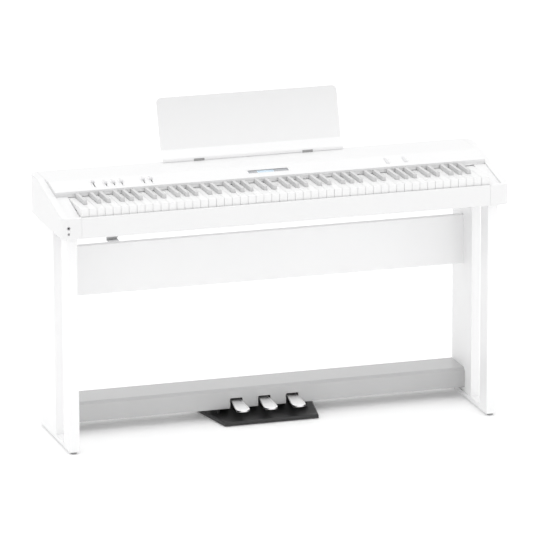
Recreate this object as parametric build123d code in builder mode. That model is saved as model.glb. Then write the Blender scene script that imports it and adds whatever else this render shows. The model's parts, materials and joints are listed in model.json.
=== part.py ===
"""Digital piano on a panel stand with a three-pedal unit, as separate pieces. Millimetres, +Z up."""

from build123d import *
import os
from math import atan2, cos, degrees, radians, sin, tan

os.makedirs("parts", exist_ok=True)

# ---------------------------------------------------------------- driving sizes
# X runs along the keyboard towards the treble, Y towards the back, Z up from the floor.
# Depths are distances back from the body's front face, and heights are above the floor.

# Keyboard: 52 naturals and 36 sharps, A0 to C8.
natural_count = 52
natural_pitch = 23.5
key_gap = 0.8
key_end_clearance = 1.0
key_front_depth = 9.2
natural_visible = 142.4
natural_head = 50.0
natural_front_height = 24.5
key_tail_height = 14.0
sharp_width = 11.0
sharp_rise = 12.0
sharp_taper = 4.0
sharp_edge_radius = 1.6
sharp_front_gap = 1.0
sharp_rear_gap = 1.5
natural_edge_radius = 1.2
key_dip = 10.0
key_top_above_base = 85.2
key_pivot_depth = 245.0
key_tail_overhang = 10.0
key_rod_radius = 2.0
key_bearing_gap = 0.3
bed_clearance = 6.0
bed_front_gap = 8.0
bed_plate = 4.0
bed_foot = 6.0
bed_foot_inset = 30.0
contact_depth = 110.0
contact_width = 40.0
contact_thickness = 2.0
contact_end_inset = 10.0
running_clearance = 0.05

# Body of the instrument.
body_bottom = 643.0
body_depth = 355.0
body_rear_height = 117.0
body_front_height = 62.0
end_block_width = 58.0
rim_width = 22.0
cheek_drop = 3.0
rim_flat_depth = 271.0
front_corner_radius = 18.0
rear_corner_radius = 30.0
bottom_edge_radius = 6.0
case_wall = 3.0
front_rail_thickness = 7.0
front_nose_radius = 4.0
front_nose_drop = 0.2
clear_above = 50.0
rear_panel_thickness = 3.0
rib_depths = (60.0, 150.0, 260.0)
rib_height = 12.0
rib_end_inset = 20.0
fit_gap = 0.3
seam_gap = 0.4

# Fallboard strip and the top with its sloping control facet.
strip_foot_gap = 1.2
strip_height = 15.8
strip_thickness = 3.0
facet_depth = 72.0
facet_front_lead = 1.6
cover_lip = 7.0
cover_lip_thickness = 4.0

# Display and controls, placed along the facet.
display_width = 124.0
display_height = 22.0
display_centre_x = -2.5
display_recess = 1.2
window_thickness = 1.6
screen_thickness = 4.0
screen_width = 49.0
screen_height = 15.0
screen_centre_x = -10.5
slot_length = 34.0
slot_width = 3.2
slider_cap_width = 9.0
slider_cap_length = 8.0
slider_cap_height = 6.0
slider_stem_width = 2.2
slider_stem_length = 5.0
slider_stem_depth = 4.0
slider_cap_gap = 0.4
slider_board_gap = 4.0
slider_edge_radius = 1.2
control_board_margin = 4.0
# Each slider's distance in from the left end of the keyboard, and how far up its slot it rests.
slider_places = {
    "volume_slider": (88.0, 12.0),
    "low_slider": (123.0, 0.0),
    "middle_slider": (146.5, 0.0),
    "high_slider": (170.0, 0.0),
    "layer_slider": (235.5, 3.0),
    "balance_slider": (258.5, 3.0),
}
rocker_width = 9.0
rocker_length = 30.0
rocker_proud = 1.8
rocker_stem = 3.0
rocker_edge_radius = 0.8
# Each rocker's distance in from the right end of the keyboard.
rocker_insets = {"value_rocker": 254.0, "mode_rocker": 199.0}
power_button_radius = 7.0
power_button_proud = 3.0
power_button_length = 14.0
power_button_inset = 27.0
power_button_edge_radius = 1.0

# Sockets. The two bores are the standard headphone plugs with their working clearance.
large_jack_bore_radius = 3.25
small_jack_bore_radius = 1.8
jack_length = 22.0
jack_floor = 2.0
jack_sink = 0.6
large_jack_collar_radius = 5.2
small_jack_collar_radius = 3.5
jack_inset = 20.0
large_jack_drop = 27.5
small_jack_drop = 44.5
# Rear sockets: each one's distance in from the left end of the keyboard, and its width.
socket_places = {72.0: 18.0, 132.0: 26.0, 172.0: 14.0, 212.0: 14.0, 262.0: 16.0, 292.0: 16.0}
socket_height = 12.0
socket_rise = 45.0
socket_wall = 1.5
socket_length = 14.0
hook_inset = 94.0
hook_width = 32.0
hook_depth = 14.0
hook_drop = 15.0
hook_plate = 3.0
hook_lip = 4.0
hook_lip_foot = 3.0
hook_lip_rise = 1.0
hook_front_depth = 10.0

# Boards and speakers in the rear of the case.
main_board_inset = 482.0
main_board_length = 440.0
board_thickness = 1.6
board_rise = 16.0
board_gap = 10.0
board_socket_gap = 4.0
pillar_radius = 3.0
pillar_inset = 7.0
speaker_inset = 182.0
speaker_setback = 50.0
speaker_radius = 40.0
speaker_rim = 3.0
speaker_height = 34.0
magnet_radius = 26.0
cone_rim = 4.0
cone_base_radius = 18.0
cone_height = 22.0
cone_hollow_rim = 8.0
cone_hollow_base_radius = 6.0
cone_hollow_depth = 14.0
sound_slot_count = 7
sound_slot_pitch = 10.0
sound_slot_width = 4.0
sound_slot_length = 50.0

# Music rest: lip, curved foot and leaning plate.
rest_width = 548.0
rest_thickness = 4.0
rest_lip_setback = 19.5
rest_lip_height = 9.0
rest_foot_rise = 34.0
rest_foot_run = 24.0
rest_plate_length = 151.0
rest_lean = 17.1
rest_corner_radius = 14.0
rest_pad_spacing = 330.0
rest_pad_width = 31.0
rest_pad_thickness = 2.0
rest_pad_drop = 2.0
rest_bend_radius = 7.0
rest_crease_drop = 2.0

# Stand.
stand_side_inset = 23.3
leg_front_setback = 34.3
post_thickness = 30.0
rear_board_thickness = 26.0
rail_thickness = 12.0
post_depth = 63.0
rear_board_depth = 172.0
glide_height = 7.0
glide_radius = 9.0
glide_inset = 13.0
panel_front_setback = 98.0
panel_thickness = 18.0
panel_bottom = 407.5
panel_height = 145.5
panel_strip_height = 2.0
dowel_radius = 4.0
dowel_length = 24.0
panel_dowel_inset = 35.0
bar_dowel_inset = 30.0
stand_screw_radius = 3.0
stand_screw_head_radius = 11.0
screw_head_height = 9.0
screw_hold = 14.0
stand_screw_spacing = 40.0
board_edge_radius = 1.0
rail_edge_radius = 1.5
glide_chamfer = 1.0

# Pedal unit.
bar_bottom = 32.6
bar_height = 59.6
bar_depth = 116.0
bar_chamfer = 8.0
bar_wall = 8.0
pedal_bay_width = 290.0
pedal_pitch = 85.5
pedal_slot_width = 38.0
pedal_slot_height = 30.5
pedal_slot_corner = 3.5
pedal_neck_width = 30.0
pedal_toe_width = 41.0
pedal_thickness = 6.5
pedal_reach = 76.0
pedal_slope = 8.2
pedal_top_at_slot = 57.4
pedal_pivot_setback = 34.0
pedal_travel = 15.0
toe_corner_radius = 9.0
pedal_edge_radius = 1.5
pedal_rod_radius = 4.0
base_plate_bottom = 2.5
base_plate_thickness = 11.2
base_front_width = 286.0
base_splay = 0.19
base_front_lead = 75.0
base_rear_setback = 8.0
base_upright_thickness = 6.0
base_edge_chamfer = 3.5
base_foot_radius = 9.0
base_foot_inset = 14.0
base_foot_side_inset = 18.0
upright_inset = 8.0
upright_front_gap = 12.0
upright_rear_gap = 6.0
pedal_boss_radius = 9.0
pedal_toe_length = 18.2
pedal_flare_length = 47.1
pedal_neck_lead = 26.0
leaf_setback = 46.0
leaf_width = 12.0
leaf_thickness = 1.2
leaf_clearance = 0.6
leaf_foot_front = 12.0
leaf_foot_rear = 34.0
leaf_curl = 6.0
leaf_curl_lead = 2.0

# ---------------------------------------------------------------- derived places
keyboard_width = natural_count * natural_pitch
block_inner_x = keyboard_width / 2 + key_end_clearance
body_half = block_inner_x + end_block_width
rim_inner_x = body_half - rim_width
span = 2 * block_inner_x
rear_top = body_bottom + body_rear_height
front_top = body_bottom + body_front_height
key_top = body_bottom + key_top_above_base
strip_depth = key_front_depth + natural_visible
facet_front = strip_depth - facet_front_lead
strip_foot = key_top + strip_foot_gap
facet_low = strip_foot + strip_height
facet_rear = facet_front + facet_depth
facet_angle = degrees(atan2(rear_top - facet_low, facet_depth))

rest_lip_depth = body_depth - rest_lip_setback
rest_crease_depth = rest_lip_depth + rest_foot_run
rest_back_offset = rest_thickness / 2 * cos(radians(rest_lean))
rest_top_depth = rest_crease_depth + rest_plate_length * sin(radians(rest_lean)) + rest_back_offset
overall_depth = max(body_depth, rest_top_depth)
front_y = -overall_depth / 2


def back(depth):
    """Y of a plane that lies this far behind the body's front face."""
    return front_y + depth


stand_half = body_half - stand_side_inset
rail_bottom = glide_height
leg_bottom = rail_bottom + rail_thickness
top_rail_bottom = body_bottom - rail_thickness
board_inner_x = stand_half - rear_board_thickness
board_front = body_depth - rear_board_depth
leg_depth = body_depth - leg_front_setback
leg_middle = leg_front_setback + leg_depth / 2
post_middle = leg_front_setback + post_depth / 2
gap_middle = (leg_front_setback + post_depth + board_front) / 2
screw_depths = (gap_middle - stand_screw_spacing / 2, gap_middle + stand_screw_spacing / 2)
panel_front = body_depth - panel_front_setback
panel_middle = panel_front + panel_thickness / 2
bar_front = body_depth - bar_depth
bar_top = bar_bottom + bar_height

key_pivot_z = key_top - key_tail_height / 2
key_rear = key_pivot_depth + key_tail_overhang
key_low = key_top - natural_front_height
key_swing_low = key_low - key_dip
case_floor = body_bottom + case_wall

facet_mid = Vector(0, back(facet_front + facet_depth / 2), (facet_low + rear_top) / 2)
facet_normal = Vector(0, -sin(radians(facet_angle)), cos(radians(facet_angle)))
facet_plane = Plane(origin=facet_mid, x_dir=(1, 0, 0), z_dir=facet_normal)

# ---------------------------------------------------------------- end blocks
jack_x = -(body_half - jack_inset)
jack_heights = [
    (front_top - large_jack_drop, large_jack_collar_radius),
    (front_top - small_jack_drop, small_jack_collar_radius),
]


def rise_to(depth):
    """Height gained along the sloping side line between the front edge and this depth."""
    return (rear_top - front_top) * depth / rim_flat_depth


# The cover and the fallboard strip stand on a shelf cut behind each cheek.
shelf_height = min(strip_foot, front_top - cheek_drop + rise_to(facet_front)) - seam_gap


def end_block(side):
    """End moulding: a wedge with rounded outer corners and a sunk cheek beside the keys."""
    inner, outer = side * block_inner_x, side * body_half
    with BuildPart() as block:
        with BuildSketch(Plane.XY.offset(body_bottom)):
            with Locations(((inner + outer) / 2, back(body_depth / 2))):
                Rectangle(end_block_width, body_depth)
        extrude(amount=body_rear_height)
        corners = block.edges().filter_by(Axis.Z).sort_by(Axis.X)[:: side][-2:].sort_by(Axis.Y)
        fillet(corners[0], front_corner_radius)
        rear_corner = block.edges().filter_by(Axis.Z).sort_by(Axis.Y)[-2:].sort_by(Axis.X)[:: side][-1]
        fillet(rear_corner, rear_corner_radius)
        # Everything above the sloping side line is taken off.
        with BuildSketch(Plane.YZ.offset(min(inner, outer) - 1)):
            with BuildLine():
                Polyline(
                    (back(-1), front_top - front_nose_drop),
                    (back(rim_flat_depth), rear_top),
                    (back(rim_flat_depth), rear_top + clear_above),
                    (back(-1), rear_top + clear_above),
                    close=True,
                )
            make_face()
        extrude(amount=end_block_width + 2, mode=Mode.SUBTRACT)
        # The bottom edge is rounded along the front, the corner and the side.
        base_edges = block.edges().group_by(Axis.Z)[0]
        inner_edge = base_edges.sort_by(Axis.X)[:: side][0]
        rear_edge = base_edges.sort_by(Axis.Y)[-1]
        fillet([edge for edge in base_edges if edge not in (inner_edge, rear_edge)], bottom_edge_radius)
        # The front of the rim rolls over into the front face.
        nose = block.edges().filter_by(Axis.X).filter_by_position(Axis.Y, back(0) - 0.1, back(0) + 0.1)
        fillet(nose.sort_by(Axis.Z)[-1], front_nose_radius)
        # The cheek beside the keyboard lies a little below the rim.
        with BuildSketch(Plane.YZ.offset(min(inner, side * rim_inner_x))):
            with BuildLine():
                Polyline(
                    (back(key_front_depth), front_top - cheek_drop),
                    (back(facet_rear), front_top - cheek_drop + rise_to(facet_rear)),
                    (back(facet_rear), rear_top + clear_above),
                    (back(key_front_depth), rear_top + clear_above),
                    close=True,
                )
            make_face()
        extrude(amount=end_block_width - rim_width, mode=Mode.SUBTRACT)
        # Holes below take the thumb screws of the stand.
        hole_x = side * (stand_half - post_thickness / 2)
        with Locations(*[(hole_x, back(depth), body_bottom) for depth in screw_depths]):
            Cylinder(
                stand_screw_radius + running_clearance,
                screw_hold + 1,
                align=(Align.CENTER, Align.CENTER, Align.MIN),
                mode=Mode.SUBTRACT,
            )
        # The shelf for the cover runs from the fallboard strip to the back.
        shelf_x = side * (block_inner_x + rim_inner_x) / 2
        with Locations((shelf_x, back(facet_front - seam_gap), shelf_height)):
            Box(
                rim_inner_x - block_inner_x,
                2 * body_depth,
                body_rear_height,
                align=(Align.CENTER, Align.MIN, Align.MIN),
                mode=Mode.SUBTRACT,
            )
    return block


right_end_block = end_block(1)
left_end_block = end_block(-1)
with left_end_block:
    for jack_z, collar_radius in jack_heights:
        with Locations((jack_x, back(0), jack_z)):
            Cylinder(
                collar_radius + fit_gap,
                jack_length + 1,
                rotation=(-90, 0, 0),
                align=(Align.CENTER, Align.CENTER, Align.MIN),
                mode=Mode.SUBTRACT,
            )
left_end_block.part.label = "left_end_block"
export_step(left_end_block.part, "parts/left_end_block.step")
right_end_block.part.label = "right_end_block"
export_step(right_end_block.part, "parts/right_end_block.step")

# ---------------------------------------------------------------- lower case
speaker_x = block_inner_x - speaker_inset
speaker_middle = body_depth - speaker_setback

with BuildPart() as bottom_case:
    with Locations((0, back(front_rail_thickness + seam_gap), body_bottom)):
        Box(
            span - 2 * fit_gap,
            body_depth - front_rail_thickness - rear_panel_thickness - 2 * seam_gap,
            case_wall,
            align=(Align.CENTER, Align.MIN, Align.MIN),
        )
    # Stiffening ribs run the length of the floor.
    for rib_depth in rib_depths:
        with Locations((0, back(rib_depth), case_floor)):
            Box(
                span - 2 * rib_end_inset,
                case_wall,
                rib_height,
                align=(Align.CENTER, Align.CENTER, Align.MIN),
            )
    # Slots under each speaker let the sound out.
    for side in (-1, 1):
        with Locations((side * speaker_x, back(speaker_middle), body_bottom)):
            with GridLocations(sound_slot_pitch, 1, sound_slot_count, 1):
                Box(sound_slot_width, sound_slot_length, 4 * case_wall, mode=Mode.SUBTRACT)
bottom_case.part.label = "bottom_case"
export_step(bottom_case.part, "parts/bottom_case.step")

with BuildPart() as front_rail:
    with BuildSketch(Plane.YZ):
        with BuildLine():
            Polyline(
                (back(0), body_bottom),
                (back(0), front_top),
                (back(front_rail_thickness), front_top),
                (back(front_rail_thickness), body_bottom),
                close=True,
            )
        make_face()
    extrude(amount=block_inner_x - fit_gap, both=True)
    front_edges = front_rail.edges().filter_by(Axis.X).group_by(Axis.Y)[0].sort_by(Axis.Z)
    fillet(front_edges[0], bottom_edge_radius)
    fillet(front_edges[-1], front_nose_radius)
front_rail.part.label = "front_rail"
export_step(front_rail.part, "parts/front_rail.step")

rear_panel_top = rear_top - case_wall - seam_gap
socket_z = body_bottom + socket_rise
sockets = [
    ((inset - block_inner_x, back(body_depth), socket_z), width)
    for inset, width in socket_places.items()
]
power_button_x = power_button_inset - block_inner_x

with BuildPart() as rear_panel:
    with Locations((0, back(body_depth), body_bottom)):
        Box(
            span - 2 * fit_gap,
            rear_panel_thickness,
            rear_panel_top - body_bottom,
            align=(Align.CENTER, Align.MAX, Align.MIN),
        )
    for place, width in sockets:
        with Locations(place):
            Box(width + 2 * fit_gap, 4 * case_wall, socket_height + 2 * fit_gap, mode=Mode.SUBTRACT)
    with Locations((power_button_x, back(body_depth), socket_z)):
        Cylinder(power_button_radius + fit_gap, 4 * case_wall, rotation=(90, 0, 0), mode=Mode.SUBTRACT)
rear_panel.part.label = "rear_panel"
export_step(rear_panel.part, "parts/rear_panel.step")

# Power inlet, foot pedal port, audio jacks and data ports: open shells set in the rear panel.
with BuildPart() as rear_sockets:
    for place, width in sockets:
        with Locations(place):
            Box(width, socket_length, socket_height, align=(Align.CENTER, Align.MAX, Align.CENTER))
            Box(
                width - 2 * socket_wall,
                socket_length - socket_wall,
                socket_height - 2 * socket_wall,
                align=(Align.CENTER, Align.MAX, Align.CENTER),
                mode=Mode.SUBTRACT,
            )
rear_sockets.part.label = "rear_sockets"
export_step(rear_sockets.part, "parts/rear_sockets.step")

with BuildPart() as power_button:
    with Locations((power_button_x, back(body_depth + power_button_proud), socket_z)):
        Cylinder(
            power_button_radius,
            power_button_length,
            rotation=(90, 0, 0),
            align=(Align.CENTER, Align.CENTER, Align.MIN),
        )
    fillet(power_button.edges().sort_by(Axis.Y)[-1], power_button_edge_radius)
power_button.part.label = "power_button"
export_step(power_button.part, "parts/power_button.step")

# ---------------------------------------------------------------- top cover and fallboard
cover_half = rim_inner_x - seam_gap
cover_front_low = facet_low - cover_lip
slider_xs = {name: inset - block_inner_x for name, (inset, _) in slider_places.items()}
rocker_xs = {name: block_inner_x - inset for name, inset in rocker_insets.items()}

with BuildPart() as top_cover:
    with BuildSketch(Plane.YZ):
        with BuildLine():
            Polyline(
                (back(facet_front), facet_low),
                (back(facet_rear), rear_top),
                (back(body_depth), rear_top),
                (back(body_depth), rear_top - case_wall),
                (back(facet_rear) + 0.5, rear_top - case_wall),
                (back(facet_front + cover_lip_thickness), facet_low - case_wall + 0.2),
                (back(facet_front + cover_lip_thickness), cover_front_low),
                (back(facet_front), cover_front_low),
                close=True,
            )
        make_face()
    extrude(amount=cover_half, both=True)
    # End walls close the cover down to the shelves, and short skirts close their rear ends.
    wall_front = strip_depth + strip_thickness + seam_gap
    for side in (-1, 1):
        with BuildSketch(Plane.YZ.offset(side * cover_half - (case_wall if side > 0 else 0))):
            with BuildLine():
                Polyline(
                    (back(wall_front), shelf_height),
                    (back(wall_front), facet_low + (wall_front - facet_front) * tan(radians(facet_angle))),
                    (back(facet_rear), rear_top),
                    (back(body_depth), rear_top),
                    (back(body_depth), shelf_height),
                    close=True,
                )
            make_face()
        extrude(amount=case_wall)
        with Locations((side * (block_inner_x + seam_gap + cover_half) / 2, back(body_depth), shelf_height)):
            Box(
                cover_half - block_inner_x - seam_gap,
                case_wall,
                rear_top - shelf_height,
                align=(Align.CENTER, Align.MAX, Align.MIN),
            )
    with Locations(facet_plane):
        with Locations((display_centre_x, 0, 0)):
            Box(display_width + 2 * fit_gap, display_height + 2 * fit_gap, 30, mode=Mode.SUBTRACT)
        for x in slider_xs.values():
            with Locations((x, 0, 0)):
                Box(slot_width, slot_length, 30, mode=Mode.SUBTRACT)
        for x in rocker_xs.values():
            with Locations((x, 0, 0)):
                Box(rocker_width + 2 * fit_gap, rocker_length + 2 * fit_gap, 30, mode=Mode.SUBTRACT)
top_cover.part.label = "top_cover"
export_step(top_cover.part, "parts/top_cover.step")

strip_top = cover_front_low - seam_gap
with BuildPart() as fallboard_strip:
    with Locations((0, back(strip_depth), strip_foot)):
        Box(
            2 * cover_half,
            strip_thickness,
            strip_top - strip_foot,
            align=(Align.CENTER, Align.MIN, Align.MIN),
        )
fallboard_strip.part.label = "fallboard_strip"
export_step(fallboard_strip.part, "parts/fallboard_strip.step")

with BuildPart() as display_window:
    with Locations(facet_plane.offset(-display_recess)):
        with Locations((display_centre_x, 0, 0)):
            Box(
                display_width,
                display_height,
                window_thickness,
                align=(Align.CENTER, Align.CENTER, Align.MAX),
            )
display_window.part.label = "display_window"
export_step(display_window.part, "parts/display_window.step")

with BuildPart() as display_screen:
    with Locations(facet_plane.offset(-display_recess - window_thickness - running_clearance)):
        with Locations((screen_centre_x, 0, 0)):
            Box(screen_width, screen_height, screen_thickness, align=(Align.CENTER, Align.CENTER, Align.MAX))
display_screen.part.label = "display_screen"
export_step(display_screen.part, "parts/display_screen.step")

board_drop = case_wall + slider_stem_length + slider_board_gap
control_board_half = max(abs(x) for x in slider_xs.values()) + slot_length / 2
with BuildPart() as control_board:
    with Locations(facet_plane.offset(-board_drop)):
        Box(
            2 * control_board_half,
            slot_length + 2 * control_board_margin,
            board_thickness,
            align=(Align.CENTER, Align.CENTER, Align.MAX),
        )
control_board.part.label = "control_board"
export_step(control_board.part, "parts/control_board.step")

# ---------------------------------------------------------------- sliding and pressing controls
for name, (_, rest_place) in slider_places.items():
    x = slider_xs[name]
    with BuildPart() as slider:
        with Locations(facet_plane.offset(slider_cap_gap)):
            with Locations((x, rest_place, 0)):
                Box(
                    slider_cap_width,
                    slider_cap_length,
                    slider_cap_height,
                    align=(Align.CENTER, Align.CENTER, Align.MIN),
                )
        fillet(slider.edges().filter_by(Axis.X).sort_by(Axis.Z)[-2:], slider_edge_radius)
        with Locations(facet_plane.offset(slider_cap_gap)):
            with Locations((x, rest_place, 0)):
                Box(
                    slider_stem_width,
                    slider_stem_depth,
                    case_wall + slider_stem_length,
                    align=(Align.CENTER, Align.CENTER, Align.MAX),
                )
    slider.part.label = name
    export_step(slider.part, f"parts/{name}.step")

for name, x in rocker_xs.items():
    with BuildPart() as rocker:
        with Locations(facet_plane.offset(rocker_proud)):
            with Locations((x, 0, 0)):
                Box(
                    rocker_width,
                    rocker_length,
                    rocker_proud + case_wall + rocker_stem,
                    align=(Align.CENTER, Align.CENTER, Align.MAX),
                )
        fillet(rocker.faces().sort_by(Axis.Z)[-1].edges(), rocker_edge_radius)
    rocker.part.label = name
    export_step(rocker.part, f"parts/{name}.step")

# ---------------------------------------------------------------- headphone jacks and hook
with BuildPart() as phones_jacks:
    bores = (large_jack_bore_radius, small_jack_bore_radius)
    for (jack_z, collar_radius), bore_radius in zip(jack_heights, bores):
        with Locations((jack_x, back(jack_sink), jack_z)):
            Cylinder(
                collar_radius,
                jack_length,
                rotation=(-90, 0, 0),
                align=(Align.CENTER, Align.CENTER, Align.MIN),
            )
            Cylinder(
                bore_radius,
                jack_length - jack_floor,
                rotation=(-90, 0, 0),
                align=(Align.CENTER, Align.CENTER, Align.MIN),
                mode=Mode.SUBTRACT,
            )
phones_jacks.part.label = "phones_jacks"
export_step(phones_jacks.part, "parts/phones_jacks.step")

# A short hanging hook under the case: a plate, a drop and a forward lip.
hook_x = hook_inset - block_inner_x
hook_rear = hook_front_depth + hook_depth
with BuildPart() as headphone_hook:
    with BuildSketch(Plane.YZ.offset(hook_x)):
        with BuildLine():
            Polyline(
                (back(hook_front_depth), body_bottom),
                (back(hook_rear), body_bottom),
                (back(hook_rear), body_bottom - hook_drop),
                (back(hook_front_depth - hook_lip), body_bottom - hook_drop),
                (back(hook_front_depth - hook_lip), body_bottom - hook_drop + hook_plate + hook_lip_rise),
                (back(hook_front_depth - hook_lip + hook_lip_foot), body_bottom - hook_drop + hook_plate),
                (back(hook_rear - hook_plate), body_bottom - hook_drop + hook_plate),
                (back(hook_rear - hook_plate), body_bottom - hook_plate),
                (back(hook_front_depth), body_bottom - hook_plate),
                close=True,
            )
        make_face()
    extrude(amount=hook_width / 2, both=True)
headphone_hook.part.label = "headphone_hook"
export_step(headphone_hook.part, "parts/headphone_hook.step")

# ---------------------------------------------------------------- keyboard
low_cell = 3 * natural_pitch / 5
high_cell = 4 * natural_pitch / 7
natural_index = {"c": 0, "d": 1, "e": 2, "f": 3, "g": 4, "a": 5, "b": 6}
sharp_offsets = {
    "c_sharp": 1.5 * low_cell,
    "d_sharp": 3.5 * low_cell,
    "f_sharp": 3 * natural_pitch + 1.5 * high_cell,
    "g_sharp": 3 * natural_pitch + 3.5 * high_cell,
    "a_sharp": 3 * natural_pitch + 5.5 * high_cell,
}
sharp_before = {"d": "c_sharp", "e": "d_sharp", "g": "f_sharp", "a": "g_sharp", "b": "a_sharp"}
sharp_after = {"c": "c_sharp", "d": "d_sharp", "f": "f_sharp", "g": "g_sharp", "a": "a_sharp"}
sharp_front = key_front_depth + natural_head + sharp_front_gap
sharp_length = strip_depth - sharp_front - sharp_rear_gap
rod_length = span - 2 * fit_gap


def octave_left(octave):
    """X where this octave's C begins; octave 0 holds only A and B, octave 8 only C."""
    return -keyboard_width / 2 + (7 * octave - 5) * natural_pitch


def octaves_with(letter):
    """The octaves that hold a natural of this letter on an 88-note keyboard."""
    first = 0 if letter in "ab" else 1
    last = 8 if letter == "c" else 7
    return range(first, last + 1)


def bore_for_rod():
    """Cuts the pivot rod's running hole right across the open part."""
    with Locations((0, back(key_pivot_depth), key_pivot_z)):
        Cylinder(
            key_rod_radius + running_clearance,
            2 * body_half,
            rotation=(0, 90, 0),
            mode=Mode.SUBTRACT,
        )


for letter, index in natural_index.items():
    with BuildPart() as naturals:
        for octave in octaves_with(letter):
            left = octave_left(octave) + index * natural_pitch + key_gap / 2
            right = left + natural_pitch - key_gap
            tail_left, tail_right = left, right
            half_sharp = sharp_width / 2 + key_gap
            if letter in sharp_before and (letter, octave) != ("a", 0):
                tail_left = octave_left(octave) + sharp_offsets[sharp_before[letter]] + half_sharp
            if letter in sharp_after and (letter, octave) != ("c", 8):
                tail_right = octave_left(octave) + sharp_offsets[sharp_after[letter]] - half_sharp
            key_length = key_rear - key_front_depth
            head_middle, tail_middle = (left + right) / 2, (tail_left + tail_right) / 2
            with BuildSketch(Plane.XY.offset(key_top - key_tail_height)):
                with Locations((head_middle, back(key_front_depth))):
                    Rectangle(right - left, natural_head, align=(Align.CENTER, Align.MIN))
                with Locations((tail_middle, back(key_front_depth))):
                    Rectangle(tail_right - tail_left, key_length, align=(Align.CENTER, Align.MIN))
            extrude(amount=key_tail_height)
            # The head is a deep block, so that its front and sides reach below the rail's top.
            with Locations((head_middle, back(key_front_depth), key_top)):
                Box(
                    right - left,
                    natural_head,
                    natural_front_height,
                    align=(Align.CENTER, Align.MIN, Align.MAX),
                )
        bore_for_rod()
        front_edges = naturals.edges().filter_by(Axis.X).filter_by_position(
            Axis.Y, back(key_front_depth) - 0.1, back(key_front_depth) + 0.1
        )
        fillet(front_edges.group_by(Axis.Z)[-1], natural_edge_radius)
    naturals.part.label = f"keys_{letter}"
    export_step(naturals.part, f"parts/keys_{letter}.step")

for name, offset in sharp_offsets.items():
    first = 0 if name == "a_sharp" else 1
    with BuildPart() as sharps:
        for octave in range(first, 8):
            x = octave_left(octave) + offset
            with BuildSketch(Plane.XY.offset(key_top - key_tail_height)):
                with Locations((x, back(sharp_front))):
                    Rectangle(sharp_width, key_rear - sharp_front, align=(Align.CENTER, Align.MIN))
            extrude(amount=key_tail_height)
            with BuildSketch(Plane.XY.offset(key_top)):
                with Locations((x, back(sharp_front))):
                    Rectangle(sharp_width, sharp_length, align=(Align.CENTER, Align.MIN))
            extrude(amount=sharp_rise, taper=sharp_taper)
        bore_for_rod()
        cap_tops = sharps.faces().filter_by(Plane.XY).group_by(Axis.Z)[-1]
        fillet(cap_tops.edges(), sharp_edge_radius)
    sharps.part.label = f"keys_{name}"
    export_step(sharps.part, f"parts/keys_{name}.step")

# The rod that all keys turn on, held by the bearing blocks of the key frame.
with BuildPart() as key_pivot_rod:
    with Locations((0, back(key_pivot_depth), key_pivot_z)):
        Cylinder(key_rod_radius, rod_length, rotation=(0, 90, 0))
key_pivot_rod.part.label = "key_pivot_rod"
export_step(key_pivot_rod.part, "parts/key_pivot_rod.step")

# Key bed: a plate below the keys on two long feet, with a bearing block at each end of the rod.
bed_top = key_swing_low - bed_clearance
bed_front = front_rail_thickness + bed_front_gap
bearing_width = key_end_clearance + key_gap / 2 - key_bearing_gap - fit_gap
with BuildPart() as key_frame:
    with Locations((0, back(bed_front), bed_top)):
        Box(
            span - 2 * fit_gap,
            key_rear + bed_foot - bed_front,
            bed_plate,
            align=(Align.CENTER, Align.MIN, Align.MAX),
        )
    for foot_depth in (bed_front + bed_front_gap, key_rear - bed_front_gap):
        with Locations((0, back(foot_depth), case_floor)):
            Box(
                keyboard_width - 2 * bed_foot_inset,
                bed_foot,
                bed_top - bed_plate - case_floor,
                align=(Align.CENTER, Align.CENTER, Align.MIN),
            )
    for side in (-1, 1):
        with Locations((side * (block_inner_x - fit_gap), back(key_pivot_depth), bed_top)):
            Box(
                bearing_width,
                key_tail_height,
                key_top - bed_top,
                align=(Align.MAX if side > 0 else Align.MIN, Align.CENTER, Align.MIN),
            )
    bore_for_rod()
key_frame.part.label = "key_frame"
export_step(key_frame.part, "parts/key_frame.step")

# Contact strip on the bed, below the middle of the keys.
with BuildPart() as key_contact_board:
    with Locations((0, back(contact_depth), bed_top)):
        Box(
            keyboard_width - 2 * contact_end_inset,
            contact_width,
            contact_thickness,
            align=(Align.CENTER, Align.MIN, Align.MIN),
        )
key_contact_board.part.label = "key_contact_board"
export_step(key_contact_board.part, "parts/key_contact_board.step")

# ---------------------------------------------------------------- inside the rear of the case
bay_front = key_rear + board_gap
main_board_x = main_board_inset - block_inner_x
bay_depth = body_depth - rear_panel_thickness - socket_length - board_socket_gap - bay_front
with BuildPart() as main_board:
    with Locations((main_board_x, back(bay_front), case_floor + board_rise)):
        Box(main_board_length, bay_depth, board_thickness, align=(Align.CENTER, Align.MIN, Align.MIN))
    # Four pillars carry it above the floor.
    with Locations((main_board_x, back(bay_front + bay_depth / 2), case_floor)):
        with GridLocations(main_board_length - 2 * pillar_inset, bay_depth - 2 * pillar_inset, 2, 2):
            Cylinder(pillar_radius, board_rise, align=(Align.CENTER, Align.CENTER, Align.MIN))
main_board.part.label = "main_board"
export_step(main_board.part, "parts/main_board.step")

# Two speaker drivers: frame ring, cone and magnet turned as one piece each.
with BuildPart() as speakers:
    for side in (-1, 1):
        with Locations((side * speaker_x, back(speaker_middle), case_floor)):
            Cylinder(speaker_radius, speaker_rim, align=(Align.CENTER, Align.CENTER, Align.MIN))
            Cone(
                speaker_radius - cone_rim,
                cone_base_radius,
                cone_height,
                align=(Align.CENTER, Align.CENTER, Align.MIN),
            )
            Cylinder(magnet_radius, speaker_height, align=(Align.CENTER, Align.CENTER, Align.MIN))
            Cone(
                speaker_radius - cone_hollow_rim,
                cone_hollow_base_radius,
                cone_hollow_depth,
                align=(Align.CENTER, Align.CENTER, Align.MIN),
                mode=Mode.SUBTRACT,
            )
speakers.part.label = "speakers"
export_step(speakers.part, "parts/speakers.step")

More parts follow.
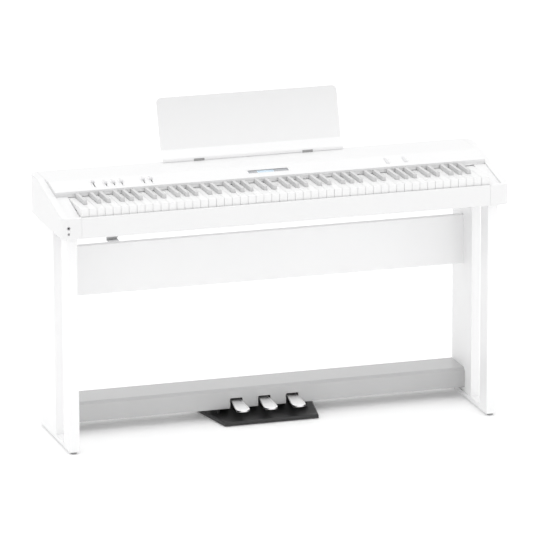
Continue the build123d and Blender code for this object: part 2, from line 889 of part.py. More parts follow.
# ---------------------------------------------------------------- music rest
lip_low = rear_top
lean = radians(rest_lean)
crease = (back(rest_crease_depth), rear_top + rest_foot_rise)
rest_tip = (
    crease[0] + rest_plate_length * sin(lean),
    crease[1] + rest_plate_length * cos(lean),
)
half = rest_thickness / 2
with BuildPart() as music_rest:
    with BuildSketch(Plane.YZ) as rest_profile:
        with BuildLine() as rest_line:
            FilletPolyline(
                (back(rest_lip_depth) + half, lip_low + half),
                (back(rest_lip_depth) + half, lip_low + rest_lip_height),
                (crease[0], crease[1] - rest_crease_drop),
                rest_tip,
                radius=rest_bend_radius,
            )
        trace(rest_line.line, rest_thickness)
    extrude(amount=rest_width / 2, both=True)
    rest_corners = music_rest.edges().filter_by(
        lambda edge: abs(edge.length - rest_thickness) < 0.01
        and edge.center().Z > rest_tip[1] - rest_thickness
    )
    fillet(rest_corners, rest_corner_radius)
music_rest.part.label = "music_rest"
export_step(music_rest.part, "parts/music_rest.step")

# Rubber feet on the lip rest on the deck and keep the music from sliding.
with BuildPart() as rest_pads:
    for side in (-1, 1):
        with Locations((side * rest_pad_spacing / 2, back(rest_lip_depth), rear_top)):
            Box(
                rest_pad_width,
                rest_pad_thickness,
                rest_lip_height - rest_pad_drop,
                align=(Align.CENTER, Align.MAX, Align.MIN),
            )
rest_pads.part.label = "rest_pads"
export_step(rest_pads.part, "parts/rest_pads.step")

# ---------------------------------------------------------------- stand
panel_half = board_inner_x
post_top = top_rail_bottom
dowel_hole_radius = dowel_radius + running_clearance
dowel_hole_length = dowel_length + 1
panel_dowel_zs = (panel_bottom + panel_dowel_inset, panel_bottom + panel_height - panel_dowel_inset)
bar_dowel_z = bar_bottom + bar_height / 2
bar_dowel_depths = (bar_front + bar_dowel_inset, body_depth - bar_dowel_inset)


def dowel_set(radius, length, sides=(-1, 1), mode=Mode.ADD):
    """Pins, or their holes, across the joints of the panel and the bar with the rear boards."""
    for side in sides:
        places = [(side * panel_half, back(panel_middle), z) for z in panel_dowel_zs]
        places += [(side * panel_half, back(depth), bar_dowel_z) for depth in bar_dowel_depths]
        with Locations(*places):
            Cylinder(radius, length, rotation=(0, 90, 0), mode=mode)


def board(x, y, z, width, depth, height):
    """A board centred on x and y, standing on z."""
    with Locations((x, back(y), z)):
        Box(width, depth, height, align=(Align.CENTER, Align.CENTER, Align.MIN))


for side, side_name in ((-1, "left"), (1, "right")):
    with BuildPart() as rear_board:
        board(
            side * (stand_half - rear_board_thickness / 2),
            body_depth - rear_board_depth / 2,
            leg_bottom,
            rear_board_thickness,
            rear_board_depth,
            post_top - leg_bottom,
        )
        fillet(rear_board.edges().filter_by(Axis.Z), board_edge_radius)
        dowel_set(dowel_hole_radius, dowel_hole_length, (side,), Mode.SUBTRACT)
    rear_board.part.label = f"{side_name}_rear_board"
    export_step(rear_board.part, f"parts/{side_name}_rear_board.step")

    with BuildPart() as front_post:
        board(
            side * (stand_half - post_thickness / 2),
            post_middle,
            leg_bottom,
            post_thickness,
            post_depth,
            post_top - leg_bottom,
        )
        fillet(front_post.edges().filter_by(Axis.Z), rail_edge_radius)
    front_post.part.label = f"{side_name}_front_post"
    export_step(front_post.part, f"parts/{side_name}_front_post.step")

with BuildPart() as base_rails:
    for side in (-1, 1):
        board(
            side * (stand_half - post_thickness / 2),
            leg_middle,
            rail_bottom,
            post_thickness,
            leg_depth,
            rail_thickness,
        )
    fillet(base_rails.edges().filter_by(Axis.Z), rail_edge_radius)
base_rails.part.label = "base_rails"
export_step(base_rails.part, "parts/base_rails.step")

with BuildPart() as top_rails:
    for side in (-1, 1):
        x = side * (stand_half - post_thickness / 2)
        board(x, leg_middle, post_top, post_thickness, leg_depth, rail_thickness)
        with Locations(*[(x, back(depth), post_top) for depth in screw_depths]):
            Cylinder(stand_screw_radius + fit_gap, 3 * rail_thickness, mode=Mode.SUBTRACT)
top_rails.part.label = "top_rails"
export_step(top_rails.part, "parts/top_rails.step")

# Thumb screws through the top rails hold the instrument down.
with BuildPart() as stand_screws:
    for side in (-1, 1):
        x = side * (stand_half - post_thickness / 2)
        with Locations(*[(x, back(depth), post_top) for depth in screw_depths]):
            Cylinder(
                stand_screw_head_radius,
                screw_head_height,
                align=(Align.CENTER, Align.CENTER, Align.MAX),
            )
            Cylinder(
                stand_screw_radius,
                rail_thickness + screw_hold,
                align=(Align.CENTER, Align.CENTER, Align.MIN),
            )
stand_screws.part.label = "stand_screws"
export_step(stand_screws.part, "parts/stand_screws.step")

with BuildPart() as back_panel:
    board(0, panel_middle, panel_bottom, 2 * panel_half, panel_thickness, panel_height)
    dowel_set(dowel_hole_radius, dowel_hole_length, mode=Mode.SUBTRACT)
back_panel.part.label = "back_panel"
export_step(back_panel.part, "parts/back_panel.step")

with BuildPart() as panel_top_strip:
    board(
        0,
        panel_middle,
        panel_bottom + panel_height,
        2 * panel_half,
        panel_thickness,
        panel_strip_height,
    )
panel_top_strip.part.label = "panel_top_strip"
export_step(panel_top_strip.part, "parts/panel_top_strip.step")

glide_depths = (leg_front_setback + glide_inset, body_depth - glide_inset)
with BuildPart() as floor_glides:
    for side in (-1, 1):
        x = side * (stand_half - post_thickness / 2)
        with Locations(*[(x, back(depth), 0) for depth in glide_depths]):
            Cylinder(glide_radius, glide_height, align=(Align.CENTER, Align.CENTER, Align.MIN))
    chamfer(floor_glides.edges().group_by(Axis.Z)[0], glide_chamfer)
floor_glides.part.label = "floor_glides"
export_step(floor_glides.part, "parts/floor_glides.step")

# ---------------------------------------------------------------- pedal unit
bay_half = pedal_bay_width / 2
pedal_xs = {"left_pedal": -pedal_pitch, "middle_pedal": 0.0, "right_pedal": pedal_pitch}
slope = radians(pedal_slope)
pedal_pivot_depth = body_depth - pedal_pivot_setback
pivot_run = pedal_pivot_depth - bar_front
pedal_pivot_z = pedal_top_at_slot + pivot_run * tan(slope) - pedal_thickness / 2
bar_slot_top = bar_bottom + pedal_slot_height

with BuildPart() as pedal_bar:
    with BuildSketch(Plane.YZ):
        with BuildLine():
            Polyline(
                (back(bar_front), bar_bottom),
                (back(bar_front), bar_top - bar_chamfer),
                (back(bar_front + bar_chamfer), bar_top),
                (back(body_depth), bar_top),
                (back(body_depth), bar_bottom),
                close=True,
            )
        make_face()
    extrude(amount=panel_half, both=True)
    # The bay behind the front wall takes the pedal mechanism and is open below.
    with Locations((0, back(bar_front + bar_wall), bar_bottom)):
        Box(
            pedal_bay_width,
            bar_depth - 2 * bar_wall,
            bar_height - bar_wall,
            align=(Align.CENTER, Align.MIN, Align.MIN),
            mode=Mode.SUBTRACT,
        )
    for x in pedal_xs.values():
        # Only the slot's upper corners are round, since it runs out below the bar.
        with BuildSketch(Plane.XZ.offset(1 - back(bar_front))):
            with Locations((x, bar_slot_top)):
                RectangleRounded(
                    pedal_slot_width,
                    2 * pedal_slot_height,
                    pedal_slot_corner,
                    align=(Align.CENTER, Align.MAX),
                )
        extrude(amount=-bar_wall - 2, mode=Mode.SUBTRACT)
    dowel_set(dowel_hole_radius, dowel_hole_length, mode=Mode.SUBTRACT)
pedal_bar.part.label = "pedal_bar"
export_step(pedal_bar.part, "parts/pedal_bar.step")

with BuildPart() as panel_dowels:
    dowel_set(dowel_radius, dowel_length)
panel_dowels.part.label = "panel_dowels"
export_step(panel_dowels.part, "parts/panel_dowels.step")

plate_top = base_plate_bottom + base_plate_thickness
base_front = bar_front - base_front_lead
base_rear = body_depth - base_rear_setback
base_rear_half = base_front_width / 2 + (base_rear - base_front) * base_splay
upright_outer = bay_half - upright_inset
upright_front = bar_front + bar_wall + upright_front_gap
upright_rear = body_depth - bar_wall - upright_rear_gap

with BuildPart() as pedal_base:
    with BuildSketch(Plane.XY.offset(base_plate_bottom)):
        with BuildLine():
            Polyline(
                (-base_front_width / 2, back(base_front)),
                (base_front_width / 2, back(base_front)),
                (base_rear_half, back(base_rear)),
                (-base_rear_half, back(base_rear)),
                close=True,
            )
        make_face()
    extrude(amount=base_plate_thickness)
    chamfer(pedal_base.edges().group_by(Axis.Z)[-1], base_edge_chamfer)
    for side in (-1, 1):
        with Locations((side * upright_outer, back(upright_front), plate_top)):
            Box(
                base_upright_thickness,
                upright_rear - upright_front,
                bar_top - bar_wall - plate_top,
                align=(Align.MAX if side > 0 else Align.MIN, Align.MIN, Align.MIN),
            )
    with Locations((0, back(pedal_pivot_depth), pedal_pivot_z)):
        Cylinder(
            pedal_rod_radius + running_clearance,
            2 * bay_half,
            rotation=(0, 90, 0),
            mode=Mode.SUBTRACT,
        )
pedal_base.part.label = "pedal_base"
export_step(pedal_base.part, "parts/pedal_base.step")

with BuildPart() as base_feet:
    for side in (-1, 1):
        places = [
            (side * (base_front_width / 2 - base_foot_inset), back(base_front + base_foot_inset), 0),
            (side * (base_rear_half - base_foot_side_inset), back(base_rear - base_foot_inset), 0),
        ]
        with Locations(*places):
            Cylinder(base_foot_radius, base_plate_bottom, align=(Align.CENTER, Align.CENTER, Align.MIN))
base_feet.part.label = "base_feet"
export_step(base_feet.part, "parts/base_feet.step")

with BuildPart() as pedal_pivot_rod:
    with Locations((0, back(pedal_pivot_depth), pedal_pivot_z)):
        Cylinder(pedal_rod_radius, 2 * upright_outer, rotation=(0, 90, 0))
pedal_pivot_rod.part.label = "pedal_pivot_rod"
export_step(pedal_pivot_rod.part, "parts/pedal_pivot_rod.step")

# Each pedal is a flat lever: a narrow neck, a wide rounded toe and a boss on the rod.
toe_end = -pedal_reach / cos(slope)
neck_end = pivot_run / cos(slope)
toe_shoulder = toe_end + pedal_toe_length
neck_start = toe_end + pedal_flare_length + pedal_neck_lead
for name, x in pedal_xs.items():
    top_face = Plane(
        origin=(x, back(bar_front), pedal_top_at_slot),
        x_dir=(1, 0, 0),
        z_dir=(0, -sin(slope), cos(slope)),
    )
    with BuildPart() as pedal:
        with BuildSketch(top_face):
            with BuildLine():
                Polyline(
                    (-pedal_toe_width / 2, toe_shoulder),
                    (-pedal_neck_width / 2, neck_start),
                    (-pedal_neck_width / 2, neck_end),
                    (pedal_neck_width / 2, neck_end),
                    (pedal_neck_width / 2, neck_start),
                    (pedal_toe_width / 2, toe_shoulder),
                )
                ThreePointArc(
                    (-pedal_toe_width / 2, toe_shoulder), (0, toe_end), (pedal_toe_width / 2, toe_shoulder)
                )
            outline = make_face()
            fillet(outline.vertices().group_by(Axis.Y)[1], toe_corner_radius)
        extrude(amount=-pedal_thickness)
        fillet(pedal.faces().sort_by(Axis.Z)[-1].edges(), pedal_edge_radius)
        with Locations((x, back(pedal_pivot_depth), pedal_pivot_z)):
            Cylinder(pedal_boss_radius, pedal_neck_width, rotation=(0, 90, 0))
            Cylinder(
                pedal_rod_radius + running_clearance,
                2 * pedal_neck_width,
                rotation=(0, 90, 0),
                mode=Mode.SUBTRACT,
            )
    pedal.part.label = name
    export_step(pedal.part, f"parts/{name}.step")

# Leaf springs screwed to the base press up under the pedals.
leaf_depth = bar_front + leaf_setback
leaf_travel = pedal_travel * (pedal_pivot_depth - leaf_depth) / (pivot_run + pedal_reach)
leaf_top = pedal_top_at_slot + leaf_setback * tan(slope) - pedal_thickness / cos(slope)
leaf_top -= leaf_travel + leaf_clearance
with BuildPart() as pedal_springs:
    for x in pedal_xs.values():
        with BuildSketch(Plane.YZ.offset(x - leaf_width / 2)):
            with BuildLine():
                Polyline(
                    (back(leaf_depth + leaf_foot_rear), plate_top),
                    (back(leaf_depth + leaf_foot_front), plate_top),
                    (back(leaf_depth - leaf_curl_lead), leaf_top - leaf_thickness / 2),
                    (back(leaf_depth + leaf_curl), leaf_top),
                    (back(leaf_depth + leaf_curl + leaf_thickness / 2), leaf_top - leaf_thickness),
                    (back(leaf_depth + leaf_thickness - leaf_curl_lead), leaf_top - 2 * leaf_thickness),
                    (back(leaf_depth + leaf_foot_front + leaf_thickness), plate_top + leaf_thickness),
                    (back(leaf_depth + leaf_foot_rear), plate_top + leaf_thickness),
                    close=True,
                )
            make_face()
        extrude(amount=leaf_width)
pedal_springs.part.label = "pedal_springs"
export_step(pedal_springs.part, "parts/pedal_springs.step")

print("overall width", round(2 * body_half, 1), "depth", round(overall_depth, 1))
print("height", round(rest_tip[1], 1), "front face at y", round(front_y, 2))
print("facet angle", round(facet_angle, 3), "facet middle", tuple(round(v, 3) for v in facet_mid))
print("key pivot", round(back(key_pivot_depth), 3), round(key_pivot_z, 3))
print("pedal pivot", round(back(pedal_pivot_depth), 3), round(pedal_pivot_z, 3))
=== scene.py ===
"""Finishes, lighting and fine pieces of a digital piano on a panel stand, built around its CAD frame."""

import json
from math import atan2, cos, degrees, pi, radians, sin, tan

import bmesh
import bpy
from bpy.props import FloatProperty, FloatVectorProperty, PointerProperty
from mathutils import Euler, Matrix, Vector


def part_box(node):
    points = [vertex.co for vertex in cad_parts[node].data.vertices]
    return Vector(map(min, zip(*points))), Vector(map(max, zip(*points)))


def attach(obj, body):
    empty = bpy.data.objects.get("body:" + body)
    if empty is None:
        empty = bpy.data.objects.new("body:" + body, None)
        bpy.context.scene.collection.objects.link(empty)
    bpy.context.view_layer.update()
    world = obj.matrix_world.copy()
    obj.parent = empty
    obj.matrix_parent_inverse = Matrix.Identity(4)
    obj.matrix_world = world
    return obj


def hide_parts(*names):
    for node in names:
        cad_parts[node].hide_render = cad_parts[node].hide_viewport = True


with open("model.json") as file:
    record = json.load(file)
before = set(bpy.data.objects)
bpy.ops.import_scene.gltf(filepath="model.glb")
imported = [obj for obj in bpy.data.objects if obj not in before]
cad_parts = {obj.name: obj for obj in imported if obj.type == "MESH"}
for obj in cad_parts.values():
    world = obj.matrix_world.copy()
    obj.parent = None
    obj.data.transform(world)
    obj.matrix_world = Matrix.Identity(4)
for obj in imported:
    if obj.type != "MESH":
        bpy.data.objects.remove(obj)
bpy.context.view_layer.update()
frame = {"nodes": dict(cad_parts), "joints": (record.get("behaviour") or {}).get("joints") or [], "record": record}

bl_info = {
    "name": "Panel Stand Piano Finisher",
    "version": (1, 0, 0),
    "blender": (4, 5, 0),
    "location": "View3D > Sidebar > Piano",
    "description": "Finishes and models the fine pieces of a digital piano on its stand",
    "category": "Add Mesh",
}

MM = 0.001
JOINTS = {joint["name"]: joint for joint in frame["joints"]}
MOUNTS = {mount["name"]: mount for mount in frame["record"]["mounts"]}
SLOTS = {part["node"]: part["material_slot"] for part in frame["record"]["subparts"]}

# The control facet slopes along the sliders' own direction of travel.
FACET_ALONG = Vector(JOINTS["volume_slider_slide"]["axis"]).normalized()
FACET_ACROSS = Vector((1, 0, 0))
FACET_NORMAL = FACET_ACROSS.cross(FACET_ALONG)
SLIDERS = ("volume_slider", "low_slider", "middle_slider", "high_slider", "layer_slider", "balance_slider")
ROCKERS = ("value_rocker", "mode_rocker")
PEDALS = ("left_pedal", "middle_pedal", "right_pedal")

# Corners closer than MERGED are made one, and places closer than HAIR count as level. SKIN is the depth of
# the thinnest film, and RING_EDGE the rounding of rings.
MERGED = 0.001 * MM
HAIR = 0.01 * MM
SKIN = 0.02 * MM
RING_EDGE = 0.12 * MM
# The share of a piece's height above which a place counts as its top.
NEAR_TOP = 0.99
# A face looks along an axis when its normal's share on it is above FACING, and squarely above LEVEL.
FACING, LEVEL = 0.9, 0.99
# Shading is smooth across edges that turn by less than this, in degrees.
SMOOTH_BELOW = 35
# The mean of a noise texture, and the cosines of the turns where an edge's lightening starts and is full; the
# lightening is partly rubbing and partly a painted highlight.
NOISE_MEAN = 0.5
RUB_AND_HIGHLIGHT_STARTS, RUB_AND_HIGHLIGHT_FULL = 0.995, 0.8
# An edge is painted this bright at least, and brighter by this share of its own colour: partly rubbing, partly a
# painted highlight where edges catch the light.
RUB_AND_HIGHLIGHT_BASE, RUB_AND_HIGHLIGHT_GAIN = 0.35, 0.7

# The camera: millimetres of sensor and lens, metres, and its heading, pitch and roll in degrees.
CAMERA_SENSOR, CAMERA_LENS = 36.0, 361.2
CAMERA_PLACE = (-4.5266, -14.4859, 4.5067)
CAMERA_TURNS = (17.38, -14.96, -0.21)
# Each softbox's name, place, size and share of the softbox power, and where they all point.
SOFTBOXES = (
    ("overhead_softbox", (-0.6, 0.2, 5.0), 4.0, 1.0),
    ("left_softbox", (-4.5, -1.0, 1.6), 2.5, 0.35),
    ("right_softbox", (3.6, -4.5, 1.4), 3.0, 0.9),
)
SOFTBOX_TARGET = (0, 0, 0.5)


# ---------------------------------------------------------------- settings
def tint(name, description, default):
    """A colour setting."""
    return FloatVectorProperty(
        name=name, description=description, default=default, subtype="COLOR", size=3, min=0, max=1
    )


def length(name, description, default):
    """A length setting, given in millimetres and kept in metres."""
    return FloatProperty(name=name, description=description, default=default * MM, unit="LENGTH", precision=5)


class PianoColours(bpy.types.PropertyGroup):
    """Colours of the piano's finishes."""

    case: tint("Case", "Satin moulding of the instrument", (0.79, 0.79, 0.792))
    board: tint("Boards", "Laminated boards of the stand", (0.88, 0.88, 0.882))
    rest: tint("Music rest", "Satin plate of the music rest", (0.78, 0.78, 0.782))
    bar: tint("Pedal bar", "Painted bar above the pedals", (0.40, 0.40, 0.402))
    strip: tint("Strips", "Fallboard strip and edge strip", (0.84, 0.84, 0.842))
    naturals: tint("Naturals", "Tops of the natural keys", (0.83, 0.83, 0.83))
    sharps: tint("Sharps", "Matt caps of the sharp keys", (0.62, 0.62, 0.622))
    cap: tint("Slider caps", "Caps of the sliders and the power button", (0.74, 0.74, 0.75))
    rocker: tint("Rockers", "Rocker buttons", (0.70, 0.70, 0.71))
    ink: tint("Printed marks", "Printed scale marks beside the controls", (0.42, 0.42, 0.43))
    display: tint("Display glass", "Smoked window over the screen", (0.36, 0.37, 0.39))
    screen: tint("Screen", "Lit part of the display", (0.56, 0.68, 0.78))
    dark: tint("Jack plastic", "Jacks and rear sockets", (0.42, 0.42, 0.425))
    hook: tint("Headphone hook", "Hook under the case", (0.50, 0.50, 0.505))
    glide: tint("Glides", "Pads under the stand's legs", (0.30, 0.30, 0.30))
    pad: tint("Rest pads", "Rubber pads under the music rest", (0.34, 0.34, 0.34))
    steel: tint("Steel", "Rods, springs and screws", (0.62, 0.62, 0.63))
    pedal: tint("Pedals", "Plated pedal levers", (0.93, 0.93, 0.93))
    base: tint("Pedal base", "Powder coated base plate", (0.019, 0.019, 0.0195))
    wood: tint("Dowels", "Beech dowels", (0.62, 0.46, 0.28))
    resist: tint("Circuit boards", "Solder resist", (0.03, 0.20, 0.09))


class PianoSizes(bpy.types.PropertyGroup):
    """Sizes of the fine pieces that are modelled on the frame."""

    rim: length("Pedal rim", "Width of the raised rim round a pedal's flat top", 3.0)
    sink: length("Pedal inset", "Depth of the flat top below the pedal's rim", 0.9)
    screw: length("Screw head", "Radius of a case screw's head", 3.2)
    mark: length("Mark", "Width of a printed mark", 0.7)
    edge: length("Edge softness", "Radius of the softening along a finish's edges", 0.8)
    softbox: FloatProperty(
        name="Softbox", description="Power of the overhead softbox", default=30.0, unit="POWER"
    )
    horizon: FloatProperty(
        name="Horizon", description="Strength of the dome light near the floor", default=0.70
    )
    zenith: FloatProperty(name="Zenith", description="Strength of the dome light overhead", default=1.32)


# ---------------------------------------------------------------- shader building
def set_inputs(node, **inputs):
    """Sets a node's inputs by name, with _ for a space."""
    for key, value in inputs.items():
        node.inputs[key.replace("_", " ")].default_value = value
    return node


def math_node(tree, operation, *values):
    """A maths node with its fixed inputs, where None leaves an input to be joined."""
    made = tree.nodes.new("ShaderNodeMath")
    made.operation = operation
    for socket, value in zip(made.inputs, values):
        if value is not None:
            socket.default_value = value
    return made


def scale_node(tree):
    """A node that scales a colour."""
    made = tree.nodes.new("ShaderNodeVectorMath")
    made.operation = "SCALE"
    return made


class Shader:
    """A material under construction: adds nodes and joins them."""

    def __init__(self, name):
        self.material = bpy.data.materials.new(f"{name}_finish")
        self.material.use_nodes = True
        self.tree = self.material.node_tree
        self.join = self.tree.links.new
        self.principled = self.tree.nodes["Principled BSDF"]

    def node(self, kind, **inputs):
        return set_inputs(self.tree.nodes.new(kind), **inputs)

    def group(self, tree, **inputs):
        made = self.tree.nodes.new("ShaderNodeGroup")
        made.node_tree = tree
        return set_inputs(made, **inputs)

    def place(self):
        """The socket that gives a point's place on the object."""
        return self.node("ShaderNodeTexCoord").outputs["Object"]


def new_group(name, inputs, outputs):
    """An empty shader node group with its sockets: each is (name, type, default)."""
    tree = bpy.data.node_groups.new(name, "ShaderNodeTree")
    for label, kind, default in inputs:
        socket = tree.interface.new_socket(label, in_out="INPUT", socket_type=kind)
        socket.default_value = default
    for label, kind in outputs:
        tree.interface.new_socket(label, in_out="OUTPUT", socket_type=kind)
    return tree, tree.nodes.new("NodeGroupInput"), tree.nodes.new("NodeGroupOutput")


def mottle_group():
    """Slow variation of colour and roughness, as handling leaves it."""
    tree, given, result = new_group(
        "mottled_surface",
        [
            ("Color", "NodeSocketColor", (0.8, 0.8, 0.8, 1)),
            ("Variation", "NodeSocketFloat", 0.03),
            ("Roughness", "NodeSocketFloat", 0.4),
            ("Roughness Variation", "NodeSocketFloat", 0.08),
            ("Broad Scale", "NodeSocketFloat", 4.0),
        ],
        [("Color", "NodeSocketColor"), ("Roughness", "NodeSocketFloat")],
    )
    nodes, link = tree.nodes, tree.links.new
    place = nodes.new("ShaderNodeTexCoord")
    broad = set_inputs(nodes.new("ShaderNodeTexNoise"), Detail=4.0)
    link(place.outputs["Object"], broad.inputs["Vector"])
    link(given.outputs["Broad Scale"], broad.inputs["Scale"])

    centred = math_node(tree, "SUBTRACT", None, NOISE_MEAN)
    link(broad.outputs["Fac"], centred.inputs[0])
    swing = math_node(tree, "MULTIPLY_ADD", None, None, 1.0)
    link(centred.outputs[0], swing.inputs[0])
    link(given.outputs["Variation"], swing.inputs[1])
    shade = scale_node(tree)
    link(given.outputs["Color"], shade.inputs[0])
    link(swing.outputs[0], shade.inputs["Scale"])
    link(shade.outputs[0], result.inputs["Color"])

    rough = math_node(tree, "MULTIPLY_ADD")
    link(centred.outputs[0], rough.inputs[0])
    link(given.outputs["Roughness Variation"], rough.inputs[1])
    link(given.outputs["Roughness"], rough.inputs[2])
    link(rough.outputs[0], result.inputs["Roughness"])
    return tree


def grain_group():
    """Long faint streaks along X, as in wood: a mask from 0 to 1."""
    tree, given, result = new_group(
        "long_grain",
        [("Along", "NodeSocketFloat", 6.0), ("Across", "NodeSocketFloat", 700.0)],
        [("Mask", "NodeSocketFloat")],
    )
    nodes, link = tree.nodes, tree.links.new
    place = nodes.new("ShaderNodeTexCoord")
    split = nodes.new("ShaderNodeSeparateXYZ")
    link(place.outputs["Object"], split.inputs[0])
    stretched = nodes.new("ShaderNodeCombineXYZ")
    for axis, factor in (("X", "Along"), ("Y", "Across"), ("Z", "Across")):
        times = math_node(tree, "MULTIPLY")
        link(split.outputs[axis], times.inputs[0])
        link(given.outputs[factor], times.inputs[1])
        link(times.outputs[0], stretched.inputs[axis])
    streak = set_inputs(nodes.new("ShaderNodeTexNoise"), Scale=1.0, Detail=3.0)
    link(stretched.outputs[0], streak.inputs["Vector"])
    link(streak.outputs["Fac"], result.inputs["Mask"])
    return tree


def edge_rub_and_highlight_group():
    """A mask that rises where an edge turns sharply, broken up by noise, for edges that are lightened partly as
    rubbing and partly as a painted highlight, and the softened normal.
    """
    tree, given, result = new_group(
        "edge_mask",
        [("Radius", "NodeSocketFloat", 0.001), ("Breakup Scale", "NodeSocketFloat", 120.0)],
        [("Mask", "NodeSocketFloat"), ("Normal", "NodeSocketVector")],
    )
    nodes, link = tree.nodes, tree.links.new
    rounded = nodes.new("ShaderNodeBevel")
    rounded.samples = 4
    link(given.outputs["Radius"], rounded.inputs["Radius"])
    flat = nodes.new("ShaderNodeNewGeometry")
    agree = nodes.new("ShaderNodeVectorMath")
    agree.operation = "DOT_PRODUCT"
    link(rounded.outputs["Normal"], agree.inputs[0])
    link(flat.outputs["Normal"], agree.inputs[1])
    turned = set_inputs(nodes.new("ShaderNodeMapRange"), From_Min=RUB_AND_HIGHLIGHT_STARTS, From_Max=RUB_AND_HIGHLIGHT_FULL)
    link(agree.outputs["Value"], turned.inputs["Value"])
    place = nodes.new("ShaderNodeTexCoord")
    broken = set_inputs(nodes.new("ShaderNodeTexNoise"), Detail=3.0)
    link(place.outputs["Object"], broken.inputs["Vector"])
    link(given.outputs["Breakup Scale"], broken.inputs["Scale"])
    both = math_node(tree, "MULTIPLY")
    link(turned.outputs[0], both.inputs[0])
    link(broken.outputs["Fac"], both.inputs[1])
    link(both.outputs[0], result.inputs["Mask"])
    link(rounded.outputs["Normal"], result.inputs["Normal"])
    return tree


GROUPS = {}


def shared(name):
    """The shader node group of this name, built the first time that it is asked for."""
    makers = {"mottle": mottle_group, "grain": grain_group, "edge": edge_rub_and_highlight_group}
    if name not in GROUPS:
        GROUPS[name] = makers[name]()
    return GROUPS[name]


def shade_of(colour, factor=1.0):
    """A colour made lighter or darker, with its alpha."""
    return (*[min(1.0, channel * factor) for channel in colour], 1.0)


def satin(name, colour, roughness, variation, scale, height, edge, rub_and_highlight):
    """Moulded or painted surface: slow mottle, fine texture, softened edges, and edges lightened partly as rubbing
    and partly as a painted highlight.

    scale and height are the fine texture's, edge is the softening's radius, and the last argument is the share of
    the lightened edges.
    """
    shader = Shader(name)
    bsdf = shader.principled.inputs
    mottle = shader.group(shared("mottle"), Color=shade_of(colour), Roughness=roughness, Variation=variation)
    edge_marking = shader.group(shared("edge"), Radius=edge)
    amount = math_node(shader.tree, "MULTIPLY", None, rub_and_highlight)
    shader.join(edge_marking.outputs["Mask"], amount.inputs[0])
    blend = shader.node("ShaderNodeMix")
    blend.data_type = "RGBA"
    plain, rubbed_and_highlit, blended = blend.inputs[6], blend.inputs[7], blend.outputs[2]
    shader.join(amount.outputs[0], blend.inputs["Factor"])
    shader.join(mottle.outputs["Color"], plain)
    # Painted highlight: edges are lightened in the colour itself, partly as rubbing and partly standing in for
    # light that edges catch.
    rubbed_and_highlit.default_value = shade_of([RUB_AND_HIGHLIGHT_BASE + RUB_AND_HIGHLIGHT_GAIN * channel for channel in colour])
    shader.join(blended, bsdf["Base Color"])
    shader.join(mottle.outputs["Roughness"], bsdf["Roughness"])
    texture = shader.node("ShaderNodeTexNoise", Scale=scale, Detail=3.0)
    shader.join(shader.place(), texture.inputs["Vector"])
    bump = shader.node("ShaderNodeBump", Distance=height)
    shader.join(texture.outputs["Fac"], bump.inputs["Height"])
    shader.join(edge_marking.outputs["Normal"], bump.inputs["Normal"])
    shader.join(bump.outputs["Normal"], bsdf["Normal"])
    return shader


# ---------------------------------------------------------------- finishes
# One row for each slot: the colour setting, then roughness, colour variation, the fine texture's scale
# and its height in metres, the share of the edge softness, the edge lightening (partly rubbing, partly
# painted highlight), and what else the shader is set to.
FINISHES = {
    "case_white": ("case", 0.42, 0.02, 1400.0, 0.000015, 1.0, 0.1, {}),
    "board_white": (
        "board", 0.46, 0.02, 700.0, 0.00002, 1.0, 0.1,
        {"Coat_Weight": 0.12, "Coat_Roughness": 0.3},
    ),
    "bar_grey": (
        "bar", 0.38, 0.05, 2200.0, 0.00002, 1.0, 0.3,
        {"Coat_Weight": 1.0, "Coat_Roughness": 0.25, "Coat_IOR": 2.3},
    ),
    "strip_grey": ("strip", 0.4, 0.04, 1200.0, 0.00002, 1.0, 0.1, {}),
    "natural_key": (
        "naturals", 0.28, 0.02, 500.0, 0.00001, 1.0, 0.0,
        {"Coat_Weight": 0.2, "Coat_Roughness": 0.15},
    ),
    "sharp_key": ("sharps", 0.5, 0.10, 600.0, 0.00004, 1.0, 0.25, {}),
    "slider_cap": ("cap", 0.35, 0.05, 1500.0, 0.00002, 0.5, 0.3, {}),
    "rocker_grey": ("rocker", 0.4, 0.05, 1500.0, 0.00002, 0.5, 0.3, {}),
    "display_glass": (
        "display", 0.08, 0.12, 40.0, 0.000002, 0.25, 0.0,
        {"Coat_Weight": 0.6, "Coat_Roughness": 0.03},
    ),
    "display_panel": ("screen", 0.25, 0.05, 300.0, 0.00001, 0.25, 0.0, {"Emission_Strength": 0.2}),
    "jack_dark": ("dark", 0.25, 0.1, 900.0, 0.00002, 0.25, 0.3, {}),
    "hook_grey": ("hook", 0.45, 0.1, 1100.0, 0.00004, 0.5, 0.3, {}),
    "rest_white": (
        "rest", 0.35, 0.02, 1000.0, 0.00001, 1.0, 0.1,
        {"Coat_Weight": 0.15, "Coat_Roughness": 0.2},
    ),
    "pad_dark": ("pad", 0.8, 0.15, 700.0, 0.00008, 1.0, 0.2, {}),
    "steel": ("steel", 0.3, 0.08, 2500.0, 0.00001, 0.25, 0.3, {"Metallic": 1.0}),
    "frame_metal": ("steel", 0.45, 0.25, 90.0, 0.00002, 0.5, 0.2, {"Metallic": 0.9}),
    "circuit_board": ("resist", 0.35, 0.2, 350.0, 0.00004, 0.25, 0.0, {}),
    "pedal_metal": ("pedal", 0.36, 0.03, 1800.0, 0.000004, 0.5, 0.2, {"Metallic": 1.0}),
    "base_black": ("base", 0.42, 0.3, 1300.0, 0.00012, 1.0, 0.25, {}),
    "glide_black": ("glide", 0.75, 0.15, 800.0, 0.00005, 1.0, 0.2, {}),
    "dowel_wood": ("wood", 0.6, 0.1, 800.0, 0.00005, 0.25, 0.2, {}),
}


